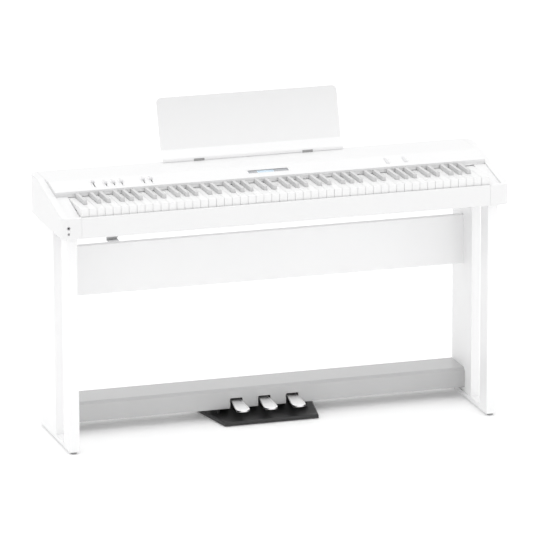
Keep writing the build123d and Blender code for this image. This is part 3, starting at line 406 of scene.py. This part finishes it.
def bricks(shader, colour, socket, scale, offset, second, mortar):
    """Rows of bricks in shades of one colour, joined to one of the shader's sockets."""
    pattern = shader.node("ShaderNodeTexBrick", Scale=scale)
    pattern.offset = offset
    set_inputs(pattern, Color1=shade_of(colour), Color2=shade_of(colour, second))
    set_inputs(pattern, Mortar=shade_of(colour, mortar))
    shader.join(shader.place(), pattern.inputs["Vector"])
    shader.join(pattern.outputs["Color"], shader.principled.inputs[socket])


def screen_dots(shader, colour):
    """Rows of fine dots that glow on the screen."""
    bricks(shader, colour, "Emission Color", scale=320.0, offset=0.5, second=0.9, mortar=0.6)


def copper_tracks(shader, colour):
    """Copper tracks under the solder resist."""
    bricks(shader, colour, "Base Color", scale=45.0, offset=0.37, second=0.8, mortar=1.8)


def rest_painted_bounce_light(shader, colour):
    """Paints the music rest a shade lighter towards its foot: painted light standing in for the light that the
    deck below throws up onto it.
    """
    low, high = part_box("music_rest")
    split = shader.node("ShaderNodeSeparateXYZ")
    shader.join(shader.place(), split.inputs[0])
    # Painted light: the colour is scaled brighter at the foot and darker at the top.
    rise = shader.node("ShaderNodeMapRange", From_Min=low.z, From_Max=high.z, To_Min=1.09, To_Max=0.96)
    shader.join(split.outputs["Z"], rise.inputs["Value"])
    shade = scale_node(shader.tree)
    painted = shader.principled.inputs["Base Color"]
    shader.join(painted.links[0].from_socket, shade.inputs[0])
    shader.join(rise.outputs[0], shade.inputs["Scale"])
    shader.join(shade.outputs[0], painted)


def beech_grain(shader, colour):
    """Beech with its grain along the dowel."""
    grain = shader.group(shared("grain"), Along=20.0, Across=900.0)
    ramp = shader.node("ShaderNodeValToRGB")
    dark, light = ramp.color_ramp.elements
    dark.color = shade_of(colour, 0.75)
    light.color = shade_of(colour, 1.2)
    shader.join(grain.outputs["Mask"], ramp.inputs["Fac"])
    shader.join(ramp.outputs["Color"], shader.principled.inputs["Base Color"])


PATTERNS = {
    "display_panel": screen_dots,
    "circuit_board": copper_tracks,
    "rest_white": rest_painted_bounce_light,
    "dowel_wood": beech_grain,
}


def finish_of(slot):
    """The finish for one of the record's slots, made the first time that it is asked for."""
    made = bpy.data.materials.get(f"{slot}_finish")
    if made is not None:
        return made
    scene = bpy.context.scene
    setting, roughness, variation, scale, height, softness, rub_and_highlight, others = FINISHES[slot]
    colour = getattr(scene.piano_colours, setting)
    edge = scene.piano_sizes.edge * softness
    shader = satin(slot, colour, roughness, variation, scale, height, edge, rub_and_highlight)
    set_inputs(shader.principled, **others)
    if slot in PATTERNS:
        PATTERNS[slot](shader, colour)
    return shader.material


def lit_segment(colours):
    """Dark liquid-crystal segments."""
    dim = [channel * 0.35 for channel in colours.screen]
    shader = satin(
        "lit_segment", dim, roughness=0.3, variation=0.05, scale=300.0, height=0.000005, edge=0.0001, rub_and_highlight=0.0
    )
    return shader.material


def printed_ink(colours):
    """Thin matt ink."""
    shader = satin(
        "printed_ink", colours.ink, roughness=0.6, variation=0.1, scale=1500.0, height=0.00001, edge=0.0001,
        rub_and_highlight=0.0,
    )
    return shader.material


def dress(piece, material):
    """Gives a piece one material."""
    piece.data.materials.clear()
    piece.data.materials.append(material)


def dome_light(horizon, zenith):
    """A white dome that grows brighter from the horizon to straight overhead."""
    world = bpy.data.worlds.new("studio_dome")
    world.use_nodes = True
    nodes, link = world.node_tree.nodes, world.node_tree.links.new
    place = nodes.new("ShaderNodeTexCoord")
    split = nodes.new("ShaderNodeSeparateXYZ")
    link(place.outputs["Generated"], split.inputs[0])
    rise = set_inputs(nodes.new("ShaderNodeMapRange"), To_Min=horizon, To_Max=zenith)
    link(split.outputs["Z"], rise.inputs["Value"])
    nodes["Background"].inputs["Color"].default_value = (1, 1, 1, 1)
    link(rise.outputs[0], nodes["Background"].inputs["Strength"])
    return world


# ---------------------------------------------------------------- modelling by hand
def choose(pieces):
    """Selects only these pieces, with the first of them active."""
    bpy.ops.object.select_all(action="DESELECT")
    for piece in pieces:
        piece.select_set(True)
    bpy.context.view_layer.objects.active = pieces[0]


def keep_place():
    """Puts the selected piece's place, turn and size into its mesh."""
    bpy.ops.object.transform_apply(location=True, rotation=True, scale=True)


def begin(add, **options):
    """Adds one primitive, alone in the selection, and returns it in object mode."""
    bpy.ops.object.select_all(action="DESELECT")
    add(**options)
    return bpy.context.active_object


def edit(piece):
    """Opens a piece in edit mode with nothing selected."""
    bpy.context.view_layer.objects.active = piece
    bpy.ops.object.mode_set(mode="EDIT")
    bpy.ops.mesh.select_mode(type="FACE")
    bpy.ops.mesh.select_all(action="DESELECT")


def pick(piece, kind, test):
    """Selects only the faces or edges of the open piece that pass the test."""
    bpy.ops.mesh.select_mode(type=kind)
    bpy.ops.mesh.select_all(action="DESELECT")
    mesh = bmesh.from_edit_mesh(piece.data)
    for item in mesh.faces if kind == "FACE" else mesh.edges:
        if test(item):
            item.select_set(True)
    mesh.select_flush_mode()
    bmesh.update_edit_mesh(piece.data)


def close_edit():
    """Closes edit mode with the faces turned outwards."""
    bpy.ops.mesh.select_all(action="SELECT")
    bpy.ops.mesh.remove_doubles(threshold=MERGED)
    bpy.ops.mesh.normals_make_consistent(inside=False)
    bpy.ops.object.mode_set(mode="OBJECT")


def middle(item):
    """The mean of an edge's or a face's corners."""
    return sum((vert.co for vert in item.verts), Vector()) / len(item.verts)


def lowest(item):
    return min(vert.co.z for vert in item.verts)


def highest(item):
    return max(vert.co.z for vert in item.verts)


def faces_up(face, least=FACING):
    return face.normal.z > least


def level(face):
    """Whether a face looks straight up, or nearly."""
    return faces_up(face, LEVEL)


def soften(piece, test, radius, segments):
    """Bevels the edges of the open piece that pass the test."""
    pick(piece, "EDGE", test)
    bpy.ops.mesh.bevel(offset=radius, segments=segments, affect="EDGES")


def extrude(height):
    """Extrudes the selected faces along Z."""
    bpy.ops.mesh.extrude_region_move(TRANSFORM_OT_translate={"value": (0, 0, height)})


def cut_across(along):
    """Cuts the open piece with a plane square to Y."""
    bpy.ops.mesh.select_all(action="SELECT")
    bpy.ops.mesh.bisect(plane_co=(0, along, 0), plane_no=(0, 1, 0))


def bridge_openings():
    """Joins the open piece's two open loops with a wall."""
    bpy.ops.mesh.select_mode(type="EDGE")
    bpy.ops.mesh.select_all(action="DESELECT")
    bpy.ops.mesh.select_non_manifold()
    bpy.ops.mesh.bridge_edge_loops()


def block(name, width, depth, height, softness=0.0):
    """A block standing on z = 0 about the Z axis, with its sides' and its top's edges softened."""
    piece = begin(bpy.ops.mesh.primitive_cube_add, size=1.0, location=(0, 0, 0.5))
    bpy.ops.transform.resize(value=(width, depth, height), center_override=(0, 0, 0))
    keep_place()
    piece.name = name
    if softness:
        edit(piece)
        soften(piece, lambda edge: highest(edge) > height * NEAR_TOP, radius=softness, segments=3)
        close_edit()
    return piece


def cylinder(name, radius, height, vertices, centre=0.0):
    """A cylinder about the Z axis, with its middle this far up."""
    add = bpy.ops.mesh.primitive_cylinder_add
    piece = begin(add, vertices=vertices, radius=radius, depth=height, location=(0, 0, centre))
    keep_place()
    piece.name = name
    return piece


def place_at(piece, matrix):
    """Moves a finished piece to its place and keeps that place in its mesh."""
    choose([piece])
    piece.matrix_world = matrix
    keep_place()
    return piece


def copy_to(piece, matrices):
    """Copies of one piece, each with its own mesh, at each of the places."""
    copies = []
    for matrix in matrices:
        twin = piece.copy()
        twin.data = piece.data.copy()
        bpy.context.scene.collection.objects.link(twin)
        copies.append(place_at(twin, matrix))
    bpy.data.objects.remove(piece)
    return copies


def joined(name, pieces):
    """Several pieces made into one."""
    choose(pieces)
    if len(pieces) > 1:
        bpy.ops.object.join()
    pieces[0].name = name
    return pieces[0]


def hand_over(piece, body, slot, *nodes, material=None):
    """Finishes a new piece: its shading, its material (the slot's finish unless one is given), its body, and hides
    the CAD nodes that it stands for.
    """
    choose([piece])
    bpy.ops.object.shade_smooth_by_angle(angle=radians(SMOOTH_BELOW))
    dress(piece, material or finish_of(slot))
    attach(piece, body)
    if nodes:
        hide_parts(*nodes)


# ---------------------------------------------------------------- places read from the frame
def turned_to(place, degrees_about_x):
    """The transform that turns a piece about X and then moves it."""
    return Matrix.Translation(place) @ Matrix.Rotation(radians(degrees_about_x), 4, "X")


def facet_span(node):
    """Lowest and highest place of a node across, along and off the control facet."""
    points = [vert.co for vert in frame["nodes"][node].data.vertices]
    axes = (FACET_ACROSS, FACET_ALONG, FACET_NORMAL)
    return (
        Vector([min(point.dot(axis) for point in points) for axis in axes]),
        Vector([max(point.dot(axis) for point in points) for axis in axes]),
    )


def facet_place(across, along, off):
    """The transform that stands a piece on the control facet at these distances."""
    turn = Matrix((FACET_ACROSS, FACET_ALONG, FACET_NORMAL)).transposed().to_4x4()
    spot = FACET_ACROSS * across + FACET_ALONG * along + FACET_NORMAL * off
    return Matrix.Translation(spot) @ turn


def facet_surface():
    """How far off the origin the facet's own surface lies."""
    points = [vert.co for vert in frame["nodes"]["top_cover"].data.vertices]
    return max(point.dot(FACET_NORMAL) for point in points if point.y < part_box("display_window")[0].y)


def groups_along_x(node, least_gap=0.002):
    """Each separate stretch of a node along X, as (lowest, highest)."""
    xs = sorted(vert.co.x for vert in frame["nodes"][node].data.vertices)
    stretches = [[xs[0], xs[0]]]
    for x in xs[1:]:
        if x - stretches[-1][1] > least_gap:
            stretches.append([x, x])
        stretches[-1][1] = x
    return stretches


def screw_head(radius):
    """A low domed head with a six-lobed recess, standing on z = 0."""
    height, recess, shoulder = 1.2 * MM, 0.7 * MM, 0.5 * MM
    recess_border = radius * 0.32
    lobes, lobe_mean, lobe_swing = 6, 0.85, 0.15
    head = cylinder("screw_head", radius, height, vertices=24, centre=height / 2)
    edit(head)
    soften(head, lambda edge: lowest(edge) > height - HAIR, radius=shoulder, segments=2)
    pick(head, "FACE", level)
    bpy.ops.mesh.inset(thickness=recess_border, depth=0)
    mesh = bmesh.from_edit_mesh(head.data)
    for face in [face for face in mesh.faces if face.select]:
        for vert in face.verts:
            turn = atan2(vert.co.y, vert.co.x)
            vert.co.xy *= lobe_mean + lobe_swing * cos(lobes * turn)
    bmesh.update_edit_mesh(head.data)
    extrude(-recess)
    close_edit()
    return head


def pedal_outline(name):
    """A pedal's outline seen square to its top, the slope of its top and its point at the bar's face."""
    neck, round_length = 15 * MM, 16 * MM
    flare_steps, round_steps, squareness = 8, 14, 0.65
    low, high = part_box(name)
    pivot = Vector(JOINTS[f"{name}_press"]["pos_m"])
    bar_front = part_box("pedal_bar")[0].y
    mesh = frame["nodes"][name].data
    top = max((face for face in mesh.polygons if face.normal.z > FACING), key=lambda face: face.area)
    on_top = mesh.vertices[top.vertices[0]].co
    slope = atan2(-top.normal.y, top.normal.z)
    origin = Vector(((low.x + high.x) / 2, bar_front, on_top.z + (bar_front - on_top.y) * tan(slope)))
    toe = (high.x - low.x) / 2
    tip = -(bar_front - low.y) / cos(slope)
    rear = (pivot.y - bar_front) / cos(slope)
    side = [(neck, rear), (neck, 0.0)]
    # The side flares in a gentle S from the neck to the toe, and the toe is half a squared circle.
    for step in range(1, flare_steps + 1):
        along = step / flare_steps
        ease = along * along * (3 - 2 * along)
        side.append((neck + (toe - neck) * ease, along * (tip + round_length)))
    for step in range(1, round_steps):
        turn = pi / 2 * step / round_steps
        reach = round_length * (1 - sin(turn) ** squareness)
        side.append((toe * cos(turn) ** squareness, tip + reach))
    mirrored = [(-x, y) for x, y in reversed(side)]
    return [*side, (0.0, tip), *mirrored], slope, origin


# ---------------------------------------------------------------- operators
class PIANO_OT_stage(bpy.types.Operator):
    """Sets up the floor, the soft lights and the camera"""

    bl_idname = "piano.stage"
    bl_label = "Stage"

    def execute(self, context):
        scene = context.scene
        sizes = scene.piano_sizes
        camera_data = bpy.data.cameras.new("studio_camera")
        camera_data.sensor_width = CAMERA_SENSOR
        camera_data.lens = CAMERA_LENS
        camera_data.clip_end = 100.0
        camera = bpy.data.objects.new("studio_camera", camera_data)
        scene.collection.objects.link(camera)
        heading, pitch, roll = [radians(turn) for turn in CAMERA_TURNS]
        aim = Euler((pi / 2 + pitch, 0, -heading)).to_matrix() @ Matrix.Rotation(roll, 3, "Z")
        camera.matrix_world = Matrix.Translation(CAMERA_PLACE) @ aim.to_4x4()
        scene.camera = camera

        floor = begin(bpy.ops.mesh.primitive_plane_add, size=60.0, location=(0, 0, 0))
        floor.name = "studio_floor"
        shader = satin(
            "studio_floor", (0.92, 0.92, 0.92), roughness=0.9, variation=0.005, scale=20.0, height=0.0,
            edge=0.001, rub_and_highlight=0.0,
        )
        set_inputs(shader.principled, Emission_Color=(1, 1, 1, 1), Emission_Strength=0.10)
        dress(floor, shader.material)

        scene.world = dome_light(sizes.horizon, sizes.zenith)
        scene.view_settings.view_transform = "Standard"

        for name, place, size, share in SOFTBOXES:
            light = bpy.data.lights.new(name, "AREA")
            light.energy = sizes.softbox * share
            light.size = size
            lamp = bpy.data.objects.new(name, light)
            lamp.location = place
            towards = Vector(SOFTBOX_TARGET) - Vector(place)
            lamp.rotation_euler = towards.to_track_quat("-Z", "Y").to_euler()
            scene.collection.objects.link(lamp)
        return {"FINISHED"}


class PIANO_OT_finishes(bpy.types.Operator):
    """Puts each CAD node's finish on it"""

    bl_idname = "piano.finishes"
    bl_label = "Finishes"

    def execute(self, context):
        for node, piece in frame["nodes"].items():
            dress(piece, finish_of(SLOTS[node]))
        return {"FINISHED"}


class PIANO_OT_sliders(bpy.types.Operator):
    """Models the slider caps, each with a raised index line and its stem"""

    bl_idname = "piano.sliders"
    bl_label = "Slider caps"

    def execute(self, context):
        cap_height, cap_edge = 6 * MM, 1.0 * MM
        line_half, line_height = 0.55 * MM, 0.35 * MM
        line_taper = (0.96, 0.8, 1)
        dish_border, dish_depth = 0.7 * MM, 0.4 * MM
        stem_width, stem_depth = 2.2 * MM, 4 * MM
        for name in SLIDERS:
            low, high = facet_span(name)
            cap = block(f"{name}_cap", high.x - low.x, high.y - low.y, cap_height, cap_edge)
            edit(cap)
            for side in (-1, 1):
                cut_across(side * line_half)
            pick(cap, "FACE", lambda face: faces_up(face) and abs(middle(face).y) < line_half)
            extrude(line_height)
            bpy.ops.transform.resize(value=line_taper, center_override=(0, 0, cap_height))
            for side in (-1, 1):
                pick(cap, "FACE", lambda face: faces_up(face) and side * middle(face).y > line_half)
                bpy.ops.mesh.inset(thickness=dish_border, depth=-dish_depth)
            close_edit()
            stem_height = high.z - low.z - cap_height
            stem = block("stem", stem_width, stem_depth, stem_height)
            place_at(stem, Matrix.Translation((0, 0, -stem_height)))
            piece = joined(f"{name}_cap", [cap, stem])
            foot = high.z - cap_height - line_height
            place_at(piece, facet_place((low.x + high.x) / 2, (low.y + high.y) / 2, foot))
            hand_over(piece, name, "slider_cap", name)
        return {"FINISHED"}


class PIANO_OT_rockers(bpy.types.Operator):
    """Models the rocker buttons: long caps that dip towards the middle, with a raised bar at each end"""

    bl_idname = "piano.rockers"
    bl_label = "Rocker buttons"

    def execute(self, context):
        cuts, dip = 12, 0.9 * MM
        # The rim is the edges that turn by more than this, in radians, above this share of the height.
        sharp, rim_from, rim_radius = 0.9, 0.6, 0.7 * MM
        bar_depth, bar_height, bar_edge, bar_sunk = 0.9 * MM, 0.5 * MM, 0.15 * MM, 0.45 * MM
        bar_width_share, bar_place_share = 0.45, 0.36
        for name in ROCKERS:
            low, high = facet_span(name)
            width, depth, height = high - low
            cap = block(f"{name}_cap", width, depth, height)
            edit(cap)
            for cut in range(1, cuts):
                cut_across(depth * (cut / cuts - 0.5))
            mesh = bmesh.from_edit_mesh(cap.data)
            for vert in mesh.verts:
                if vert.co.z > height * NEAR_TOP:
                    vert.co.z -= dip * cos(pi * vert.co.y / depth) ** 2
            bmesh.update_edit_mesh(cap.data)

            def on_rim(edge):
                turns = len(edge.link_faces) == 2 and edge.calc_face_angle(0) > sharp
                return turns and middle(edge).z > height * rim_from

            soften(cap, on_rim, radius=rim_radius, segments=3)
            close_edit()
            bar = block("bar", width * bar_width_share, bar_depth, bar_height, bar_edge)
            ends = [
                Matrix.Translation((0, side * depth * bar_place_share, height - bar_sunk)) for side in (-1, 1)
            ]
            piece = joined(f"{name}_cap", [cap, *copy_to(bar, ends)])
            place_at(piece, facet_place((low.x + high.x) / 2, (low.y + high.y) / 2, low.z))
            hand_over(piece, name, "rocker_grey", name)
        return {"FINISHED"}


class PIANO_OT_display(bpy.types.Operator):
    """Models the bezel round the window and the lit segments on the screen"""

    bl_idname = "piano.display"
    bl_label = "Display"

    def execute(self, context):
        border, proud, well_share = 1.6 * MM, 0.35 * MM, 0.9
        low, high = facet_span("display_window")
        centre = (low + high) / 2
        bezel = block("display_bezel", high.x - low.x + 2 * border, high.y - low.y + 2 * border, proud)
        edit(bezel)
        pick(bezel, "FACE", faces_up)
        bpy.ops.mesh.inset(thickness=2 * border, depth=0)
        extrude(-proud * well_share)
        bpy.ops.mesh.delete(type="FACE")
        pick(bezel, "FACE", lambda face: face.normal.z < -FACING)
        bpy.ops.mesh.inset(thickness=2 * border, depth=0)
        bpy.ops.mesh.delete(type="FACE")
        bridge_openings()
        soften(bezel, lambda edge: lowest(edge) > proud * NEAR_TOP, radius=RING_EDGE, segments=2)
        close_edit()
        place_at(bezel, facet_place(centre.x, centre.y, facet_surface()))
        hand_over(bezel, "body", "strip_grey")

        rows, columns = 3, 12
        row_stride, column_stride, cycle, blanks = 5, 3, 7, (0, 4)
        dash_width_share, dash_depth_share, dash_height, dash_edge = 0.62, 0.34, 0.1 * MM, 0.02 * MM
        screen_low, screen_high = facet_span("display_screen")
        screen = screen_high - screen_low
        pitch_x = screen.x / (columns + 1)
        pitch_y = screen.y / (rows + 1)
        spots = []
        for row in range(rows):
            for column in range(columns):
                if (row * row_stride + column * column_stride) % cycle in blanks:
                    continue
                across = screen_low.x + (column + 1) * pitch_x
                along = screen_low.y + (row + 1) * pitch_y
                spots.append(facet_place(across, along, high.z + SKIN))
        dash = block("dash", pitch_x * dash_width_share, pitch_y * dash_depth_share, dash_height, dash_edge)
        segments = joined("display_segments", copy_to(dash, spots))
        dark_ink = lit_segment(context.scene.piano_colours)
        hand_over(segments, "body", "display_panel", material=dark_ink)

        # The screen's glow shows through the window as a slightly raised lit field.
        field_height, field_edge = 0.05 * MM, 0.01 * MM
        field = block("display_field", screen.x, screen.y, field_height, field_edge)
        screen_centre = (screen_low + screen_high) / 2
        place_at(field, facet_place(screen_centre.x, screen_centre.y, high.z - SKIN))
        hand_over(field, "body", "display_panel")
        return {"FINISHED"}


class PIANO_OT_marks(bpy.types.Operator):
    """Lays the printed marks on the facet: a short scale beside each slider and a bar at each rocker"""

    bl_idname = "piano.marks"
    bl_label = "Printed marks"

    def execute(self, context):
        ink_height, ink_edge = 0.06 * MM, 0.01 * MM
        tick_width, bar_width, bar_boldness = 3.2 * MM, 7.0 * MM, 1.5
        scale_aside, scale_step, bar_along = 7.2 * MM, 6 * MM, 23 * MM
        rocker_aside, rocker_step, rocker_bar_along = 9 * MM, 9 * MM, 20 * MM
        mark = context.scene.piano_sizes.mark
        surface = facet_surface()
        window_low, window_high = facet_span("display_window")
        middle_line = (window_low.y + window_high.y) / 2
        short = block("mark", tick_width, mark, ink_height, ink_edge)
        long = block("mark", bar_width, bar_boldness * mark, ink_height, ink_edge)
        ticks, bars = [], []
        for name in SLIDERS:
            low, high = facet_span(name)
            x = (low.x + high.x) / 2
            for step in range(-2, 3):
                ticks.append(facet_place(x - scale_aside, middle_line + step * scale_step, surface))
            for side in (-1, 1):
                bars.append(facet_place(x, middle_line + side * bar_along, surface))
        for name in ROCKERS:
            low, high = facet_span(name)
            x = (low.x + high.x) / 2
            for side in (-1, 1):
                ticks.append(facet_place(x + rocker_aside, middle_line + side * rocker_step, surface))
            bars.append(facet_place(x, middle_line + rocker_bar_along, surface))
        marks = joined("printed_marks", copy_to(short, ticks) + copy_to(long, bars))
        hand_over(marks, "body", "strip_grey", material=printed_ink(context.scene.piano_colours))
        return {"FINISHED"}


class PIANO_OT_pedals(bpy.types.Operator):
    """Models the pedal levers: a narrow neck, a rounded toe and a flat top set inside a raised rim"""

    bl_idname = "piano.pedals"
    bl_label = "Pedals"

    def execute(self, context):
        sizes = context.scene.piano_sizes
        thickness, top_radius, foot_radius, rim_wall = 6.5 * MM, 1.6 * MM, 0.8 * MM, 0.5 * MM
        boss_radius, boss_width, boss_rim, boss_dish = 9 * MM, 30 * MM, 4.5 * MM, 1.0 * MM

        # The levers' top is the only level face with more corners than this.
        most_small_corners = 8

        def round_foot(edge):
            return lowest(edge) < -thickness + HAIR and highest(edge) - lowest(edge) < HAIR

        for name in PEDALS:
            pivot = Vector(JOINTS[f"{name}_press"]["pos_m"])
            outline, slope, origin = pedal_outline(name)
            count = len(outline)
            lever = begin(bpy.ops.mesh.primitive_circle_add, vertices=count, radius=1, fill_type="NGON")
            lever.name = f"{name}_lever"
            edit(lever)
            mesh = bmesh.from_edit_mesh(lever.data)
            for vert, (x, y) in zip(mesh.verts, outline):
                vert.co = (x, y, 0)
            bmesh.update_edit_mesh(lever.data)
            bpy.ops.mesh.select_all(action="SELECT")
            extrude(-thickness)
            bpy.ops.mesh.select_all(action="SELECT")
            bpy.ops.mesh.normals_make_consistent(inside=False)
            soften(lever, lambda edge: highest(edge) > -HAIR, radius=top_radius, segments=5)
            pick(lever, "FACE", lambda face: level(face) and len(face.verts) > most_small_corners)
            bpy.ops.mesh.inset(thickness=sizes.rim, depth=0)
            bpy.ops.mesh.inset(thickness=rim_wall, depth=-sizes.sink)
            soften(lever, round_foot, radius=foot_radius, segments=2)
            close_edit()
            place_at(lever, turned_to(origin, degrees(slope)))

            boss = cylinder("boss", boss_radius, boss_width, vertices=40)
            edit(boss)
            pick(boss, "FACE", lambda face: abs(face.normal.z) > FACING)
            bpy.ops.mesh.inset(thickness=boss_rim, depth=-boss_dish)
            close_edit()
            on_pivot = Matrix.Translation((origin.x, pivot.y, pivot.z))
            place_at(boss, on_pivot @ Matrix.Rotation(pi / 2, 4, "Y"))
            piece = joined(f"{name}_lever", [lever, boss])
            hand_over(piece, name, "pedal_metal", name)
        return {"FINISHED"}


class PIANO_OT_shield(bpy.types.Operator):
    """Models the folded sheet that closes the gap behind the pedals, under the bar"""

    bl_idname = "piano.shield"
    bl_label = "Rear shield"

    def execute(self, context):
        sheet, sheet_edge, clearance = 1.5 * MM, 0.3 * MM, 0.3 * MM
        setback, flange_depth, screw_share = 7 * MM, 13 * MM, 0.4
        rod_low, rod_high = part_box("pedal_pivot_rod")
        width = rod_high.x - rod_low.x
        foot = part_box("pedal_springs")[0].z
        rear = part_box("pedal_base")[1].y - setback
        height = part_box("pedal_bar")[0].z - clearance - foot
        upright = block("upright", width, sheet, height, sheet_edge)
        place_at(upright, Matrix.Translation((0, rear, foot)))
        flange = block("flange", width, flange_depth, sheet, sheet_edge)
        place_at(flange, Matrix.Translation((0, rear - flange_depth / 2, foot)))
        spots = [
            Matrix.Translation((side * width * screw_share, rear - flange_depth / 2, foot + sheet))
            for side in (-1, 0, 1)
        ]
        heads = copy_to(screw_head(context.scene.piano_sizes.screw), spots)
        piece = joined("pedal_rear_shield", [upright, flange, *heads])
        hand_over(piece, "body", "base_black")
        return {"FINISHED"}


class PIANO_OT_jacks(bpy.types.Operator):
    """Models the ring nut round each headphone bore"""

    bl_idname = "piano.jacks"
    bl_label = "Jack nuts"

    def execute(self, context):
        nut_height, nut_share, wall_share, proud = 0.5 * MM, 1.5, 0.45, 0.26 * MM
        nuts = []
        for name in ("large_phones_bore", "small_phones_bore"):
            mount = MOUNTS[name]
            bore = mount["dims"]["r_mm"] * MM
            ring = cylinder("nut", bore * nut_share, nut_height, vertices=32)
            edit(ring)
            for side in (1, -1):
                pick(ring, "FACE", lambda face: face.normal.z * side > FACING)
                bpy.ops.mesh.inset(thickness=bore * wall_share, depth=0)
                bpy.ops.mesh.delete(type="FACE")
            bridge_openings()
            top = nut_height / 2
            soften(ring, lambda edge: lowest(edge) > top - HAIR, radius=RING_EDGE, segments=2)
            close_edit()
            spot = Vector(mount["pos_m"])
            spot.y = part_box("phones_jacks")[0].y - proud
            nuts.append(place_at(ring, turned_to(spot, 90)))
        hand_over(joined("jack_nuts", nuts), "body", "steel")
        return {"FINISHED"}


class PIANO_OT_screws(bpy.types.Operator):
    """Models the case screws once and sets them along the rear panel and the floor"""

    bl_idname = "piano.screws"
    bl_label = "Case screws"

    def execute(self, context):
        side_inset, edge_inset, front_inset, count = 12 * MM, 10 * MM, 25 * MM, 7
        radius = context.scene.piano_sizes.screw
        low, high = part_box("rear_panel")
        span = high.x - low.x - 2 * side_inset
        across = [low.x + side_inset + span * step / (count - 1) for step in range(count)]
        heights = (low.z + edge_inset, high.z - edge_inset)
        on_rear = [turned_to((x, high.y, z), -90) for x in across for z in heights]
        floor_low, floor_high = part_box("bottom_case")
        depths = (floor_low.y + front_inset, (floor_low.y + floor_high.y) / 2)
        on_floor = [turned_to((x, y, floor_low.z), 180) for x in across for y in depths]
        for name, spots in (("rear_screws", on_rear), ("floor_screws", on_floor)):
            hand_over(joined(name, copy_to(screw_head(radius), spots)), "body", "steel")
        return {"FINISHED"}


class PIANO_OT_sockets(bpy.types.Operator):
    """Models the tongues and pins inside the rear sockets and the dished cap of the power button"""

    bl_idname = "piano.sockets"
    bl_label = "Rear sockets"

    def execute(self, context):
        pin_radius, pin_edge, pin_sunk, pin_step = 0.9 * MM, 0.3 * MM, 2 * MM, 3 * MM
        tongue_width, tongue_height, tongue_edge, tongue_sunk = 7 * MM, 1.6 * MM, 0.2 * MM, 3 * MM
        # Where the pins stand in each of the first sockets, in steps. Every later socket has a tongue.
        pin_rows = ((0,), (-1, 0, 1))
        contact_share = 0.7
        low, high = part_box("rear_sockets")
        z = (low.z + high.z) / 2
        depth = (high.y - low.y) * contact_share
        pins, tongues = [], []
        for index, (left, right) in enumerate(groups_along_x("rear_sockets")):
            x = (left + right) / 2
            if index < len(pin_rows):
                for place in pin_rows[index]:
                    pins.append(turned_to((x + place * pin_step, high.y - pin_sunk, z), 90))
            else:
                tongues.append(turned_to((x, high.y - tongue_sunk, z), 90))
        pin = cylinder("pin", pin_radius, depth, vertices=16, centre=depth / 2)
        edit(pin)
        soften(pin, lambda edge: highest(edge) < HAIR, radius=pin_edge, segments=2)
        close_edit()
        tongue = block("tongue", tongue_width, tongue_height, depth, tongue_edge)
        piece = joined("socket_contacts", copy_to(pin, pins) + copy_to(tongue, tongues))
        hand_over(piece, "body", "steel")

        button_edge = 0.8 * MM
        # Each step of the cap's dish: how far in and how far down, in millimetres.
        dish_steps = ((1.4, 0), (1.2, 0.4), (1.6, 0.15))
        button_low, button_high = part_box("power_button")
        span = button_high - button_low
        cap = cylinder("power_button_cap", span.x / 2, span.y, vertices=48, centre=-span.y / 2)
        edit(cap)
        soften(cap, lambda edge: lowest(edge) > -HAIR, radius=button_edge, segments=4)
        pick(cap, "FACE", level)
        for border, dish in dish_steps:
            bpy.ops.mesh.inset(thickness=border * MM, depth=-dish * MM)
        close_edit()
        centre = (button_low + button_high) / 2
        place_at(cap, turned_to((centre.x, button_high.y, centre.z), -90))
        hand_over(cap, "power_button", "slider_cap", "power_button")
        return {"FINISHED"}


OPERATORS = (
    PIANO_OT_stage, PIANO_OT_finishes, PIANO_OT_sliders, PIANO_OT_rockers, PIANO_OT_display, PIANO_OT_marks,
    PIANO_OT_pedals, PIANO_OT_shield, PIANO_OT_jacks, PIANO_OT_screws, PIANO_OT_sockets,
)


class PIANO_PT_panel(bpy.types.Panel):
    """Lists the steps that finish the piano"""

    bl_idname = "PIANO_PT_panel"
    bl_label = "Panel Stand Piano"
    bl_space_type = "VIEW_3D"
    bl_region_type = "UI"
    bl_category = "Piano"

    def draw(self, context):
        for step in OPERATORS:
            self.layout.operator(step.bl_idname)
        for group in (context.scene.piano_colours, context.scene.piano_sizes):
            for name in group.__annotations__:
                self.layout.prop(group, name)


CLASSES = (PianoColours, PianoSizes, *OPERATORS, PIANO_PT_panel)


def register():
    for item in CLASSES:
        bpy.utils.register_class(item)
    bpy.types.Scene.piano_colours = PointerProperty(type=PianoColours)
    bpy.types.Scene.piano_sizes = PointerProperty(type=PianoSizes)


def unregister():
    del bpy.types.Scene.piano_sizes
    del bpy.types.Scene.piano_colours
    for item in reversed(CLASSES):
        bpy.utils.unregister_class(item)


def main():
    """Registers the add-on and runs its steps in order."""
    register()
    for step in OPERATORS:
        group, name = step.bl_idname.split(".")
        getattr(getattr(bpy.ops, group), name)()


if __name__ == "__main__":
    main()
